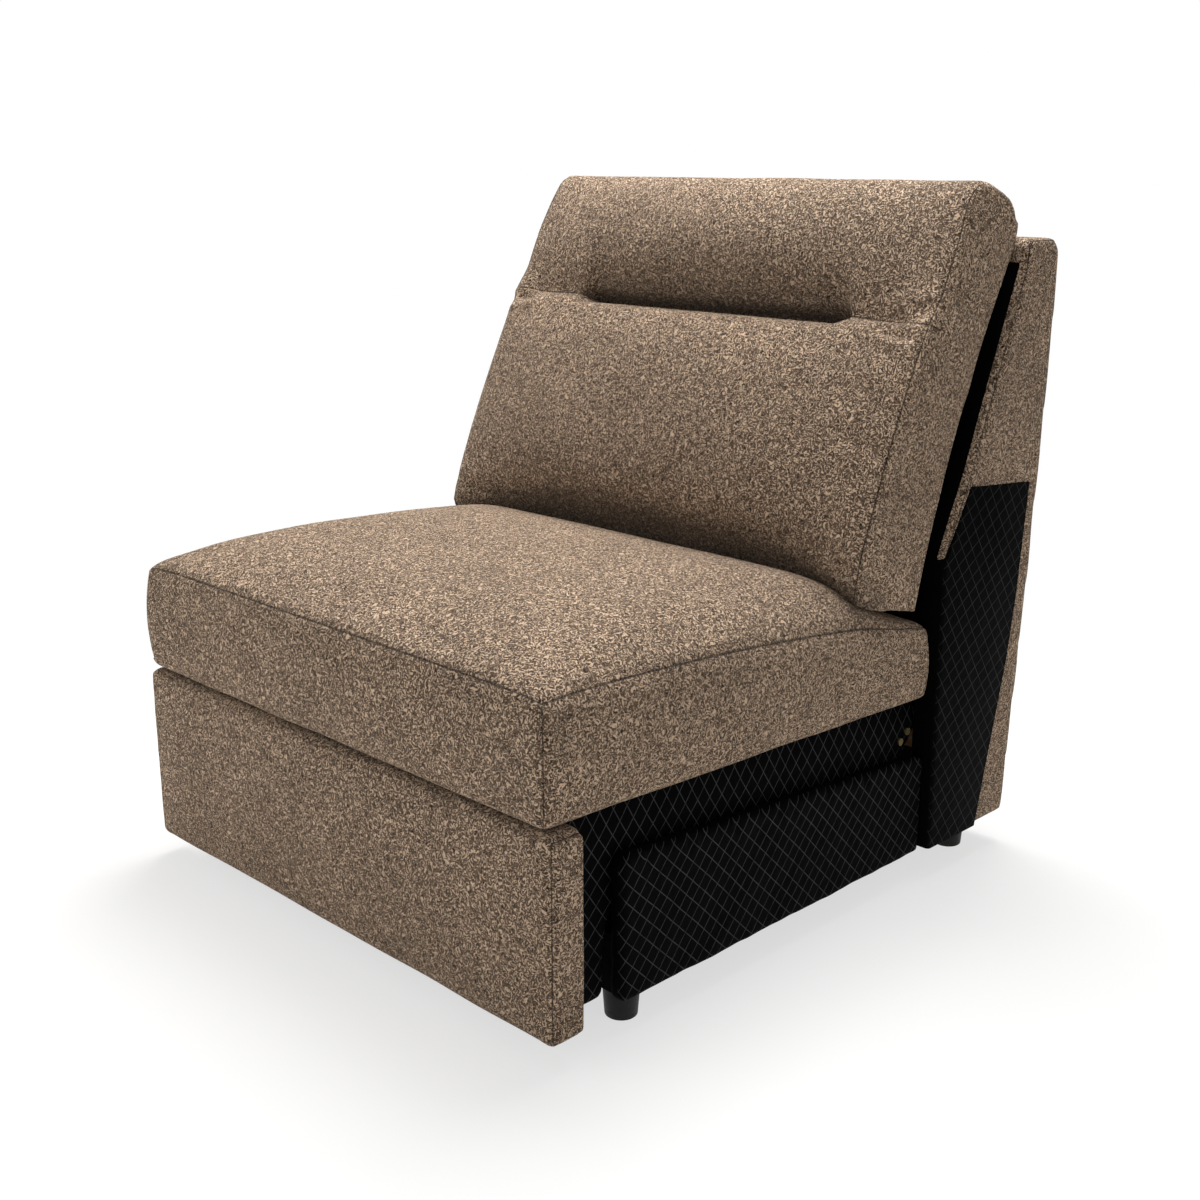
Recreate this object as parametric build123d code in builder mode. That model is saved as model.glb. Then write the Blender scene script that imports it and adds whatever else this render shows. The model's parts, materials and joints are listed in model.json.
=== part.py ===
"""Armless recliner: fixed outer back and base, a seat that glides forward, a reclining back
and a footrest that swings out on parallel links.

Millimetres. The origin is on the floor, at the middle of the footprint.
+Z is up, the front of the seat faces -Y, and +X is the sitter's left.
"""

import math
import os

from build123d import *

os.makedirs("parts", exist_ok=True)

SIDES = (("left", 1), ("right", -1))

# Overall
overall_depth = 1013.0
front_y = -overall_depth / 2
rear_y = overall_depth / 2
running_gap = 0.5
seat_rake = 4.0
rake_rise = math.tan(math.radians(seat_rake))

# Feet and base beams
foot_height = 40.0
foot_radius = 24.0
foot_taper = 3.0
foot_bolt_radius = 4.0
foot_bolt_length = 60.0
bolt_head_radius = 8.0
bolt_head_height = 5.0
bolt_recess = 25.0
bolt_clearance = 0.2
bolt_head_room = 1.0
beam_inner_x = 380.0
beam_width = 26.0
beam_height = 80.0
beam_front_inset = 13.0
beam_rear_inset = 66.0
foot_front_inset = 24.0
foot_rear_inset = 52.0
beam_outer_x = beam_inner_x + beam_width
beam_top_z = foot_height + beam_height

# Padded side rails of the base
rail_front_inset = 127.0
rail_front_y = front_y + rail_front_inset
rail_rear_gap = 1.5
rail_core_thickness = 21.0
rail_cover_thickness = 4.0
rail_cover_round = 2.8
rail_mid_top_z = 209.0
rail_corner_radius = 14.0

# Cross bars and seat tracks
bar_thickness = 22.0
bar_bottom_z = 60.0
front_bar_inset = 270.5
rear_bar_inset = 28.5
track_mid_z = 134.0
track_inner_x = 322.0
track_width = 30.0
track_wall = 2.5
track_floor = 3.0
track_height = 30.0
track_overhang = 6.0

# Outer back
outer_back_depth = 253.0
back_front_y = rear_y - outer_back_depth
back_outer_x = 445.0
side_skin = 5.0
knee_z = 488.0
elbow_inset = 54.5
elbow_y = back_front_y + elbow_inset
elbow_z = 602.0
lean_slope = 116.0 / 291.0
back_height = 927.0
rear_waist_inset = 20.0
rear_waist_y = rear_y - rear_waist_inset
rear_waist_z = 439.0
rear_heel_inset = 50.0
rear_heel_y = rear_y - rear_heel_inset
rear_shoulder_drop = 107.0
rear_shoulder_z = back_height - rear_shoulder_drop
outer_bottom_z = 50.0
pad_thickness = 12.0
rear_pad_thickness = 10.0
top_cap_height = 40.0
top_cap_round = 16.0
cross_rail_thickness = 22.0
cross_rail_height = 60.0
patch_front_drop = 15.0
patch_rear_drop = 29.0
patch_rear_inset = 20.0
patch_mid_inset = 35.0
patch_mid_drop = 37.0
patch_low_inset = 50.0
patch_low_drop = 137.0
patch_foot_inset = 80.0

# Seat frame
seat_side_thickness = 20.0
seat_cover_thickness = 4.0
seat_side_inset = 60.0
seat_side_front_y = front_y + seat_side_inset
seat_leg_depth = 55.0
seat_leg_flare = 20.0
seat_leg_bottom_z = 42.0
seat_side_bottom_z = 150.0
seat_side_reach = 16.5
seat_side_rear_y = back_front_y + seat_side_reach
seat_notch_length = 70.0
seat_notch_height = 78.0
deck_front_z = 298.0
deck_slope = math.tan(math.radians(2.0))
deck_front_inset = 106.5
deck_front_y = front_y + deck_front_inset
seat_rail_thickness = 22.0
seat_front_rail_inset = 94.5
seat_front_rail_y = front_y + seat_front_rail_inset
seat_front_rail_bottom = 225.0
seat_rear_rail_inset = 35.5
seat_rear_rail_y = back_front_y - seat_rear_rail_inset
seat_rear_rail_bottom = 215.0
link_notch_width = 30.0
link_notch_z = 282.0
carriage_thickness = 22.0
tongue_length = 268.0
tongue_front_y = seat_rear_rail_y - tongue_length
carriage_step = 40.0
carriage_height = 37.0
carriage_rear_height = 25.0
carriage_belly_z = 205.0
glide_thickness = 4.0
glide_gap = 0.3

# Springs under the seat
spring_count = 5
spring_pitch = 130.0
spring_wire = 4.0
spring_half_width = 20.0
spring_bars = 20
clip_length = 18.0
clip_width = 56.0
clip_thickness = 1.5

# Seat cushion
cushion_half_width = 428.0
cushion_rear_gap = 1.5
cushion_rear_y = back_front_y - cushion_rear_gap
cushion_lift = 6.0
cushion_front_seam_z = 461.0
cushion_rear_seam_z = 390.0
cushion_crown = 40.0
cushion_bulge = 7.0
cushion_seam_inset = 4.2
cushion_seam_lift = 4.0
cushion_tilt = 2.0
loft_steps = (-1.0, -0.9, -0.6, 0.0, 0.6, 0.9, 1.0)

# Reclining back
back_lean = 22.5
back_foot_inset = 8.5
back_foot_y = back_front_y - back_foot_inset
back_foot_z = 490.0
hinge_reach = 18.5
hinge_y = back_front_y + hinge_reach
hinge_z = 330.0
hinge_lug = 14.0
hinge_plate_length = 88.0
hinge_plate_bottom_z = 205.0
hinge_plate_heel_z = 240.0
hinge_plate_top_gap = 8.0
bracket_front_rise = 72.0
bracket_rear_rise = 74.0
panel_cloth = 2.0
back_frame_thickness = 22.0
stile_inner_x = 373.0
stile_width = 36.0
back_frame_bottom = -60.0
back_frame_top = 470.0
back_rail_height = 38.0
webbing_thickness = 2.0
webbing_height = 50.0
webbing_count = 5
webbing_bottom = 20.0
webbing_pitch = 88.0
back_cushion_gap = 0.3
back_cushion_bottom = -89.0
back_cushion_top = 492.0
back_cushion_depth = 140.0
back_cushion_crown = 44.0
back_cushion_swell = 7.0
back_cushion_heel = 9.0
back_cushion_nape = 6.0
back_cushion_belly = 84.0
head_depth = 112.0
tuck_height = 285.0

# Footrest and its links
panel_half_width = 439.0
panel_thickness = 55.0
panel_bottom_z = 37.0
panel_top_z = 300.0
footboard_thickness = 14.0
footboard_inset = 9.0
footrest_cloth_inset = 10.0
panel_crown = 8.0
panel_edge_round = 2.0
plate_thickness = 4.0
flange_width = 24.0
layer_gap = 3.0
link_width = 22.0
pivot_plate_radius = 15.4
pin_radius = 5.0
pin_head_radius = 8.0
pin_head_height = 2.0
pin_clearance = 0.1
open_pivot_clearance = 0.5
swing_length = 195.0
swing_back_angle = 13.28
swing_pivot_inset = 120.5
swing_pivot_z = 262.0
swing_pivot = (front_y + swing_pivot_inset, swing_pivot_z)
guide_offset = (50.0, -28.0)
foot_pivot_inset = 73.5
foot_pivot_z = 240.0
foot_pivot = (front_y + foot_pivot_inset, foot_pivot_z)
toggle_offset = (0.0, 45.0)

# Bolts that show at the rear of the seat side
low_bolt_inset = 44.0
low_bolt_z = 214.0
high_bolt_inset = 27.0
high_bolt_z = 226.0
side_bolts = (
    (seat_side_rear_y - low_bolt_inset, low_bolt_z),
    (seat_side_rear_y - high_bolt_inset, high_bolt_z),
)
side_bolt_radius = 3.0
side_bolt_head_radius = 5.5
side_bolt_head_height = 3.0


def deck_z(y):
    """Height of the spring deck at a distance y."""
    return deck_front_z - deck_slope * (y - deck_front_y)


def track_z(y):
    """Height of the track's underside at a distance y."""
    return track_mid_z - rake_rise * y


def rail_top_z(y):
    """Height of the base rail's top edge at a distance y."""
    return rail_mid_top_z - rake_rise * y


# ---------------------------------------------------------------- base

beam_front_y = rail_front_y + beam_front_inset
beam_rear_y = rear_y - beam_rear_inset
beam_mid_x = beam_inner_x + beam_width / 2
foot_front_y = beam_front_y + foot_front_inset
foot_rear_y = beam_rear_y - foot_rear_inset
foot_places = (("front", foot_front_y), ("rear", foot_rear_y))

for side_name, side in SIDES:
    with BuildPart() as base_beam:
        with BuildSketch(Plane.XY.offset(foot_height)):
            with Locations((side * beam_mid_x, (beam_front_y + beam_rear_y) / 2)):
                Rectangle(beam_width, beam_rear_y - beam_front_y)
        extrude(amount=beam_height)
        with Locations(
            (side * beam_mid_x, foot_front_y, foot_height),
            (side * beam_mid_x, foot_rear_y, foot_height),
        ):
            Cylinder(
                foot_bolt_radius + bolt_clearance,
                foot_bolt_length,
                align=(Align.CENTER, Align.CENTER, Align.MIN),
                mode=Mode.SUBTRACT,
            )
    base_beam.part.label = f"base_beam_{side_name}"
    export_step(base_beam.part, f"parts/base_beam_{side_name}.step")

for side_name, side in SIDES:
    for end_name, foot_y in foot_places:
        with BuildPart() as foot:
            with BuildSketch(Plane.XY):
                with Locations((side * beam_mid_x, foot_y)):
                    Circle(foot_radius - foot_taper)
            with BuildSketch(Plane.XY.offset(foot_height)):
                with Locations((side * beam_mid_x, foot_y)):
                    Circle(foot_radius)
            loft()
            with Locations((side * beam_mid_x, foot_y, 0)):
                Cylinder(
                    foot_bolt_radius + bolt_clearance,
                    foot_height,
                    align=(Align.CENTER, Align.CENTER, Align.MIN),
                    mode=Mode.SUBTRACT,
                )
                Cylinder(
                    bolt_head_radius + bolt_head_room,
                    bolt_recess,
                    align=(Align.CENTER, Align.CENTER, Align.MIN),
                    mode=Mode.SUBTRACT,
                )
        foot.part.label = f"foot_{end_name}_{side_name}"
        export_step(foot.part, f"parts/foot_{end_name}_{side_name}.step")

with BuildPart() as foot_bolts:
    for side_name, side in SIDES:
        for end_name, foot_y in foot_places:
            with Locations((side * beam_mid_x, foot_y, bolt_recess)):
                Cylinder(
                    foot_bolt_radius,
                    foot_bolt_length,
                    align=(Align.CENTER, Align.CENTER, Align.MIN),
                )
                Cylinder(
                    bolt_head_radius,
                    bolt_head_height,
                    align=(Align.CENTER, Align.CENTER, Align.MAX),
                )
foot_bolts.part.label = "foot_bolts"
export_step(foot_bolts.part, "parts/foot_bolts.step")

rail_rear_y = back_front_y - rail_rear_gap
rail_outline = [
    (rail_front_y, foot_height),
    (rail_rear_y, foot_height),
    (rail_rear_y, rail_top_z(rail_rear_y)),
    (rail_front_y, rail_top_z(rail_front_y)),
]
rail_skin_x = beam_outer_x + rail_core_thickness

for side_name, side in SIDES:
    with BuildPart() as side_rail:
        with BuildSketch(Plane.YZ.offset(side * beam_outer_x)):
            with BuildLine():
                Polyline(rail_outline, close=True)
            make_face()
            fillet(vertices().group_by(Axis.X)[0], rail_corner_radius)
        extrude(amount=side * rail_core_thickness)
    side_rail.part.label = f"side_rail_{side_name}"
    export_step(side_rail.part, f"parts/side_rail_{side_name}.step")

    with BuildPart() as side_rail_cover:
        with BuildSketch(Plane.YZ.offset(side * rail_skin_x)):
            with BuildLine():
                Polyline(rail_outline, close=True)
            make_face()
            fillet(vertices().group_by(Axis.X)[0], rail_corner_radius)
        extrude(amount=side * rail_cover_thickness)
        outer_face = side_rail_cover.faces().sort_by(Axis.X)[-1 if side > 0 else 0]
        fillet(outer_face.edges(), rail_cover_round)
    side_rail_cover.part.label = f"side_rail_cover_{side_name}"
    export_step(side_rail_cover.part, f"parts/side_rail_cover_{side_name}.step")

front_bar_y = front_y + front_bar_inset
rear_bar_y = back_front_y - rear_bar_inset

for bar_name, bar_y in (("front", front_bar_y), ("rear", rear_bar_y)):
    with BuildPart() as base_crossbar:
        with BuildSketch(Plane.YZ):
            with BuildLine():
                Polyline(
                    (bar_y, bar_bottom_z),
                    (bar_y + bar_thickness, bar_bottom_z),
                    (bar_y + bar_thickness, track_z(bar_y + bar_thickness)),
                    (bar_y, track_z(bar_y)),
                    close=True,
                )
            make_face()
        extrude(amount=beam_inner_x, both=True)
    base_crossbar.part.label = f"base_crossbar_{bar_name}"
    export_step(base_crossbar.part, f"parts/base_crossbar_{bar_name}.step")

track_front_y = front_bar_y - track_overhang
track_rear_y = rear_bar_y + bar_thickness + track_overhang


def track_outline(height):
    """Side outline of a strip of this height that lies along the track."""
    return [
        (track_front_y, track_z(track_front_y)),
        (track_rear_y, track_z(track_rear_y)),
        (track_rear_y, track_z(track_rear_y) + height),
        (track_front_y, track_z(track_front_y) + height),
    ]


for side_name, side in SIDES:
    with BuildPart() as track:
        with BuildSketch(Plane.YZ.offset(side * track_inner_x)):
            with BuildLine():
                Polyline(track_outline(track_floor), close=True)
            make_face()
        extrude(amount=side * track_width)
        for wall_x in (track_inner_x, track_inner_x + track_width - track_wall):
            with BuildSketch(Plane.YZ.offset(side * wall_x)):
                with BuildLine():
                    Polyline(track_outline(track_height), close=True)
                make_face()
            extrude(amount=side * track_wall)
    track.part.label = f"track_{side_name}"
    export_step(track.part, f"parts/track_{side_name}.step")

# ---------------------------------------------------------------- outer back

cap_bottom_z = back_height - top_cap_height


def lean_y(z):
    """Front face of the outer back at a height above the elbow."""
    return elbow_y + lean_slope * (z - elbow_z)


def rear_face_y(z):
    """Rear face of the outer back at a height z."""
    if z < rear_waist_z:
        slope = (rear_waist_y - rear_heel_y) / (rear_waist_z - outer_bottom_z)
        return rear_heel_y + slope * (z - outer_bottom_z)
    slope = (rear_y - rear_waist_y) / (rear_shoulder_z - rear_waist_z)
    return min(rear_y, rear_waist_y + slope * (z - rear_waist_z))


post_outer_x = back_outer_x - side_skin
post_thickness = post_outer_x - beam_outer_x
post_outline = [
    (back_front_y + pad_thickness, outer_bottom_z),
    (back_front_y + pad_thickness, knee_z),
    (elbow_y + pad_thickness, elbow_z),
    (lean_y(cap_bottom_z) + pad_thickness, cap_bottom_z),
    (rear_y - rear_pad_thickness, cap_bottom_z),
    (rear_y - rear_pad_thickness, rear_shoulder_z),
    (rear_waist_y - rear_pad_thickness, rear_waist_z),
    (rear_heel_y - rear_pad_thickness, outer_bottom_z),
]

for side_name, side in SIDES:
    with BuildPart() as back_post:
        with BuildSketch(Plane.YZ.offset(side * beam_outer_x)):
            with BuildLine():
                Polyline(post_outline, close=True)
            make_face()
        extrude(amount=side * post_thickness)
    back_post.part.label = f"back_post_{side_name}"
    export_step(back_post.part, f"parts/back_post_{side_name}.step")

with BuildPart() as outer_front_panel:
    with BuildSketch(Plane.YZ):
        with BuildLine():
            Polyline(
                (back_front_y, knee_z),
                (elbow_y, elbow_z),
                (lean_y(cap_bottom_z), cap_bottom_z),
                (lean_y(cap_bottom_z) + pad_thickness, cap_bottom_z),
                (elbow_y + pad_thickness, elbow_z),
                (back_front_y + pad_thickness, knee_z),
                close=True,
            )
        make_face()
    extrude(amount=post_outer_x, both=True)
outer_front_panel.part.label = "outer_front_panel"
export_step(outer_front_panel.part, "parts/outer_front_panel.step")

with BuildPart() as outer_front_strips:
    for side_name, side in SIDES:
        with BuildSketch(Plane.YZ.offset(side * beam_outer_x)):
            with BuildLine():
                Polyline(
                    (back_front_y, outer_bottom_z),
                    (back_front_y + pad_thickness, outer_bottom_z),
                    (back_front_y + pad_thickness, knee_z),
                    (back_front_y, knee_z),
                    close=True,
                )
            make_face()
        extrude(amount=side * post_thickness)
outer_front_strips.part.label = "outer_front_strips"
export_step(outer_front_strips.part, "parts/outer_front_strips.step")

with BuildPart() as outer_top_cap:
    with BuildSketch(Plane.YZ):
        with BuildLine():
            Polyline(
                (lean_y(cap_bottom_z), cap_bottom_z),
                (lean_y(cap_bottom_z), back_height),
                (rear_y, back_height),
                (rear_y, cap_bottom_z),
                close=True,
            )
        make_face()
        fillet(vertices().group_by(Axis.Y)[-1], top_cap_round)
    extrude(amount=post_outer_x, both=True)
outer_top_cap.part.label = "outer_top_cap"
export_step(outer_top_cap.part, "parts/outer_top_cap.step")

with BuildPart() as outer_rear_panel:
    with BuildSketch(Plane.YZ):
        with BuildLine():
            Polyline(
                (rear_y, cap_bottom_z),
                (rear_y, rear_shoulder_z),
                (rear_waist_y, rear_waist_z),
                (rear_heel_y, outer_bottom_z),
                (rear_heel_y - rear_pad_thickness, outer_bottom_z),
                (rear_waist_y - rear_pad_thickness, rear_waist_z),
                (rear_y - rear_pad_thickness, rear_shoulder_z),
                (rear_y - rear_pad_thickness, cap_bottom_z),
                close=True,
            )
        make_face()
    extrude(amount=post_outer_x, both=True)
outer_rear_panel.part.label = "outer_rear_panel"
export_step(outer_rear_panel.part, "parts/outer_rear_panel.step")

# The black cover and the fabric meet on the side of the upright along this line.
patch_top_front = (elbow_y, elbow_z - patch_front_drop)
patch_top_rear = (rear_waist_y - patch_rear_inset, elbow_z - patch_rear_drop)
patch_mid_rear = (rear_waist_y - patch_mid_inset, rear_waist_z - patch_mid_drop)
patch_low_rear = (rear_waist_y - patch_low_inset, rear_waist_z - patch_low_drop)
patch_foot_rear = (rear_heel_y - patch_foot_inset, outer_bottom_z)

for side_name, side in SIDES:
    with BuildPart() as upright_patch:
        with BuildSketch(Plane.YZ.offset(side * post_outer_x)):
            with BuildLine():
                Polyline(
                    (back_front_y, outer_bottom_z),
                    (back_front_y, knee_z),
                    patch_top_front,
                    patch_top_rear,
                    patch_mid_rear,
                    patch_low_rear,
                    patch_foot_rear,
                    close=True,
                )
            make_face()
        extrude(amount=side * side_skin)
    upright_patch.part.label = f"upright_patch_{side_name}"
    export_step(upright_patch.part, f"parts/upright_patch_{side_name}.step")

    with BuildPart() as upright_side:
        with BuildSketch(Plane.YZ.offset(side * post_outer_x)):
            with BuildLine():
                Polyline(
                    patch_top_front,
                    (elbow_y, elbow_z),
                    (lean_y(cap_bottom_z), cap_bottom_z),
                    (lean_y(cap_bottom_z), back_height),
                    (rear_y, back_height),
                    (rear_y, rear_shoulder_z),
                    (rear_waist_y, rear_waist_z),
                    (rear_heel_y, outer_bottom_z),
                    patch_foot_rear,
                    patch_low_rear,
                    patch_mid_rear,
                    patch_top_rear,
                    close=True,
                )
            make_face()
            fillet(vertices().group_by(Axis.Y)[-1], top_cap_round)
        extrude(amount=side * side_skin)
    upright_side.part.label = f"upright_side_{side_name}"
    export_step(upright_side.part, f"parts/upright_side_{side_name}.step")

cross_rails = (
    ("top", cap_bottom_z - cross_rail_height),
    ("middle", rear_waist_z),
    ("bottom", beam_top_z),
)
for rail_name, rail_z in cross_rails:
    rail_back = rear_face_y(rail_z) - rear_pad_thickness
    with BuildPart() as outer_rail:
        with BuildSketch(Plane.XY.offset(rail_z)):
            with Locations((0, rail_back - cross_rail_thickness / 2)):
                Rectangle(2 * beam_outer_x, cross_rail_thickness)
        extrude(amount=cross_rail_height)
    outer_rail.part.label = f"outer_back_{rail_name}_rail"
    export_step(outer_rail.part, f"parts/outer_back_{rail_name}_rail.step")

# ---------------------------------------------------------------- seat frame

seat_cover_x = beam_inner_x + seat_side_thickness
seat_side_outline = [
    (seat_side_front_y, seat_leg_bottom_z),
    (seat_side_front_y + seat_leg_depth, seat_leg_bottom_z),
    (seat_side_front_y + seat_leg_depth + seat_leg_flare, seat_side_bottom_z),
    (seat_side_rear_y - seat_notch_length, seat_side_bottom_z),
    (seat_side_rear_y, seat_side_bottom_z + seat_notch_height),
    (seat_side_rear_y, deck_z(seat_side_rear_y)),
    (seat_side_front_y, deck_z(seat_side_front_y)),
]

for side_name, side in SIDES:
    with BuildPart() as seat_side:
        with BuildSketch(Plane.YZ.offset(side * beam_inner_x)):
            with BuildLine():
                Polyline(seat_side_outline, close=True)
            make_face()
            with Locations(*side_bolts):
                Circle(side_bolt_radius + pin_clearance, mode=Mode.SUBTRACT)
        extrude(amount=side * seat_side_thickness)
    seat_side.part.label = f"seat_side_{side_name}"
    export_step(seat_side.part, f"parts/seat_side_{side_name}.step")

    with BuildPart() as seat_side_cover:
        with BuildSketch(Plane.YZ.offset(side * seat_cover_x)):
            with BuildLine():
                Polyline(seat_side_outline, close=True)
            make_face()
            with Locations(*side_bolts):
                Circle(side_bolt_radius + pin_clearance, mode=Mode.SUBTRACT)
        extrude(amount=side * seat_cover_thickness)
    seat_side_cover.part.label = f"seat_side_cover_{side_name}"
    export_step(seat_side_cover.part, f"parts/seat_side_cover_{side_name}.step")

with BuildPart() as side_bolts_node:
    for side_name, side in SIDES:
        with BuildSketch(Plane.YZ.offset(side * (beam_inner_x - plate_thickness))):
            with Locations(*side_bolts):
                Circle(side_bolt_radius)
        extrude(amount=side * (plate_thickness + seat_side_thickness + seat_cover_thickness))
        with BuildSketch(Plane.YZ.offset(side * (seat_cover_x + seat_cover_thickness))):
            with Locations(*side_bolts):
                Circle(side_bolt_head_radius)
        extrude(amount=side * side_bolt_head_height)
side_bolts_node.part.label = "seat_side_bolts"
export_step(side_bolts_node.part, "parts/seat_side_bolts.step")

front_rail_rear_y = seat_front_rail_y + seat_rail_thickness
with BuildPart() as seat_front_rail:
    for bottom_z, half_length in (
        (seat_front_rail_bottom, beam_inner_x - link_notch_width),
        (link_notch_z, beam_inner_x),
    ):
        with BuildSketch(Plane.YZ):
            with BuildLine():
                Polyline(
                    (seat_front_rail_y, bottom_z),
                    (front_rail_rear_y, bottom_z),
                    (front_rail_rear_y, deck_z(front_rail_rear_y)),
                    (seat_front_rail_y, deck_z(seat_front_rail_y)),
                    close=True,
                )
            make_face()
        extrude(amount=half_length, both=True)
seat_front_rail.part.label = "seat_front_rail"
export_step(seat_front_rail.part, "parts/seat_front_rail.step")

rear_rail_rear_y = seat_rear_rail_y + seat_rail_thickness
with BuildPart() as seat_rear_rail:
    with BuildSketch(Plane.YZ):
        with BuildLine():
            Polyline(
                (seat_rear_rail_y, seat_rear_rail_bottom),
                (rear_rail_rear_y, seat_rear_rail_bottom),
                (rear_rail_rear_y, deck_z(rear_rail_rear_y)),
                (seat_rear_rail_y, deck_z(seat_rear_rail_y)),
                close=True,
            )
        make_face()
    extrude(amount=beam_inner_x - plate_thickness, both=True)
seat_rear_rail.part.label = "seat_rear_rail"
export_step(seat_rear_rail.part, "parts/seat_rear_rail.step")

glide_lift = track_floor + glide_gap
tongue_lift = glide_lift + glide_thickness
carriage_inner_x = track_inner_x + (track_width - carriage_thickness) / 2

for side_name, side in SIDES:
    with BuildPart() as carriage_rail:
        with BuildSketch(Plane.YZ.offset(side * carriage_inner_x)):
            with BuildLine():
                Polyline(
                    (front_rail_rear_y, seat_front_rail_bottom),
                    (tongue_front_y - carriage_step, carriage_belly_z),
                    (tongue_front_y, track_z(tongue_front_y) + tongue_lift),
                    (seat_rear_rail_y, track_z(seat_rear_rail_y) + tongue_lift),
                    (seat_rear_rail_y, seat_rear_rail_bottom + carriage_rear_height),
                    (front_rail_rear_y, seat_front_rail_bottom + carriage_height),
                    close=True,
                )
            make_face()
        extrude(amount=side * carriage_thickness)
    carriage_rail.part.label = f"carriage_rail_{side_name}"
    export_step(carriage_rail.part, f"parts/carriage_rail_{side_name}.step")

with BuildPart() as glide_strips:
    for side_name, side in SIDES:
        with BuildSketch(Plane.YZ.offset(side * carriage_inner_x)):
            with BuildLine():
                Polyline(
                    (tongue_front_y, track_z(tongue_front_y) + glide_lift),
                    (seat_rear_rail_y, track_z(seat_rear_rail_y) + glide_lift),
                    (seat_rear_rail_y, track_z(seat_rear_rail_y) + tongue_lift),
                    (tongue_front_y, track_z(tongue_front_y) + tongue_lift),
                    close=True,
                )
            make_face()
        extrude(amount=side * carriage_thickness)
glide_strips.part.label = "glide_strips"
export_step(glide_strips.part, "parts/glide_strips.step")

deck_plane = Plane(
    origin=(0, deck_front_y, deck_front_z),
    x_dir=(1, 0, 0),
    z_dir=(0, deck_slope, 1),
)
spring_run = rear_rail_rear_y - seat_rail_thickness / 2 - deck_front_y
spring_length = math.hypot(spring_run, deck_slope * spring_run)
spring_bar_pitch = spring_length / (spring_bars - 1)
spring_places = [spring_pitch * (i - (spring_count - 1) / 2) for i in range(spring_count)]

with BuildPart() as seat_springs:
    for spring_x in spring_places:
        with BuildSketch(deck_plane):
            with BuildLine():
                for bar in range(spring_bars):
                    turn = 1 if bar % 2 == 0 else -1
                    bar_y = bar * spring_bar_pitch
                    start_x = spring_x - turn * spring_half_width
                    end_x = spring_x + turn * spring_half_width
                    Line((start_x, bar_y), (end_x, bar_y))
                    if bar < spring_bars - 1:
                        ThreePointArc(
                            (end_x, bar_y),
                            (end_x + turn * spring_bar_pitch / 2, bar_y + spring_bar_pitch / 2),
                            (end_x, bar_y + spring_bar_pitch),
                        )
            trace(line_width=spring_wire)
        extrude(amount=spring_wire)
seat_springs.part.label = "seat_springs"
export_step(seat_springs.part, "parts/seat_springs.step")

with BuildPart() as spring_clips:
    with BuildSketch(deck_plane.offset(spring_wire)):
        for spring_x in spring_places:
            with Locations((spring_x, 0), (spring_x, spring_length)):
                Rectangle(clip_width, clip_length)
    extrude(amount=clip_thickness)
spring_clips.part.label = "spring_clips"
export_step(spring_clips.part, "parts/spring_clips.step")

# ---------------------------------------------------------------- seat cushion

with BuildPart() as seat_cushion:
    for step in loft_steps:
        fullness = 1 - abs(step) ** 3
        tuck_in = cushion_tilt * (2 - fullness)
        low_front = (front_y + cushion_bulge, deck_z(front_y) + cushion_lift)
        low_rear = (cushion_rear_y - tuck_in, deck_z(cushion_rear_y) + cushion_lift)
        seam_front = (front_y + cushion_seam_inset + tuck_in, cushion_front_seam_z)
        seam_rear = (cushion_rear_y - tuck_in, cushion_rear_seam_z)
        seam_mid_y = (seam_front[0] + seam_rear[0]) / 2
        seam_mid_z = (cushion_front_seam_z + cushion_rear_seam_z) / 2
        with BuildSketch(Plane.YZ.offset(step * cushion_half_width)):
            with BuildLine():
                Line(low_rear, low_front)
                ThreePointArc(
                    low_front,
                    (front_y + cushion_bulge * (1 - fullness), (low_front[1] + seam_front[1]) / 2),
                    seam_front,
                )
                ThreePointArc(
                    seam_front,
                    (seam_mid_y, seam_mid_z + cushion_seam_lift + cushion_crown * fullness),
                    seam_rear,
                )
                ThreePointArc(
                    seam_rear,
                    (cushion_rear_y, (seam_rear[1] + low_rear[1]) / 2),
                    low_rear,
                )
            make_face()
    loft()
seat_cushion.part.label = "seat_cushion"
export_step(seat_cushion.part, "parts/seat_cushion.step")

# ---------------------------------------------------------------- reclining back

lean = math.radians(back_lean)


def back_point(height, depth):
    """Turn a height up the leaning back and a depth in front of it into (y, z)."""
    y = back_foot_y + height * math.sin(lean) - depth * math.cos(lean)
    z = back_foot_z + height * math.cos(lean) + depth * math.sin(lean)
    return (y, z)


back_plane = Plane(
    origin=(0, back_foot_y, back_foot_z),
    x_dir=(1, 0, 0),
    z_dir=(0, -math.cos(lean), math.sin(lean)),
)
frame_plane = back_plane.offset(panel_cloth)
webbing_plane = frame_plane.offset(back_frame_thickness)
stile_mid_x = stile_inner_x + stile_width / 2
stile_outer_x = stile_inner_x + stile_width
frame_mid = (back_frame_bottom + back_frame_top) / 2
frame_height = back_frame_top - back_frame_bottom

for side_name, side in SIDES:
    with BuildPart() as back_stile:
        with BuildSketch(frame_plane):
            with Locations((side * stile_mid_x, frame_mid)):
                Rectangle(stile_width, frame_height)
        extrude(amount=back_frame_thickness)
    back_stile.part.label = f"back_stile_{side_name}"
    export_step(back_stile.part, f"parts/back_stile_{side_name}.step")

back_rails = (
    ("top", back_frame_top - back_rail_height / 2, stile_inner_x),
    ("bottom", back_frame_bottom + back_rail_height / 2, stile_inner_x - plate_thickness),
)
for rail_name, rail_height, rail_reach in back_rails:
    with BuildPart() as back_rail:
        with BuildSketch(frame_plane):
            with Locations((0, rail_height)):
                Rectangle(2 * rail_reach, back_rail_height)
        extrude(amount=back_frame_thickness)
    back_rail.part.label = f"back_{rail_name}_rail"
    export_step(back_rail.part, f"parts/back_{rail_name}_rail.step")

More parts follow.
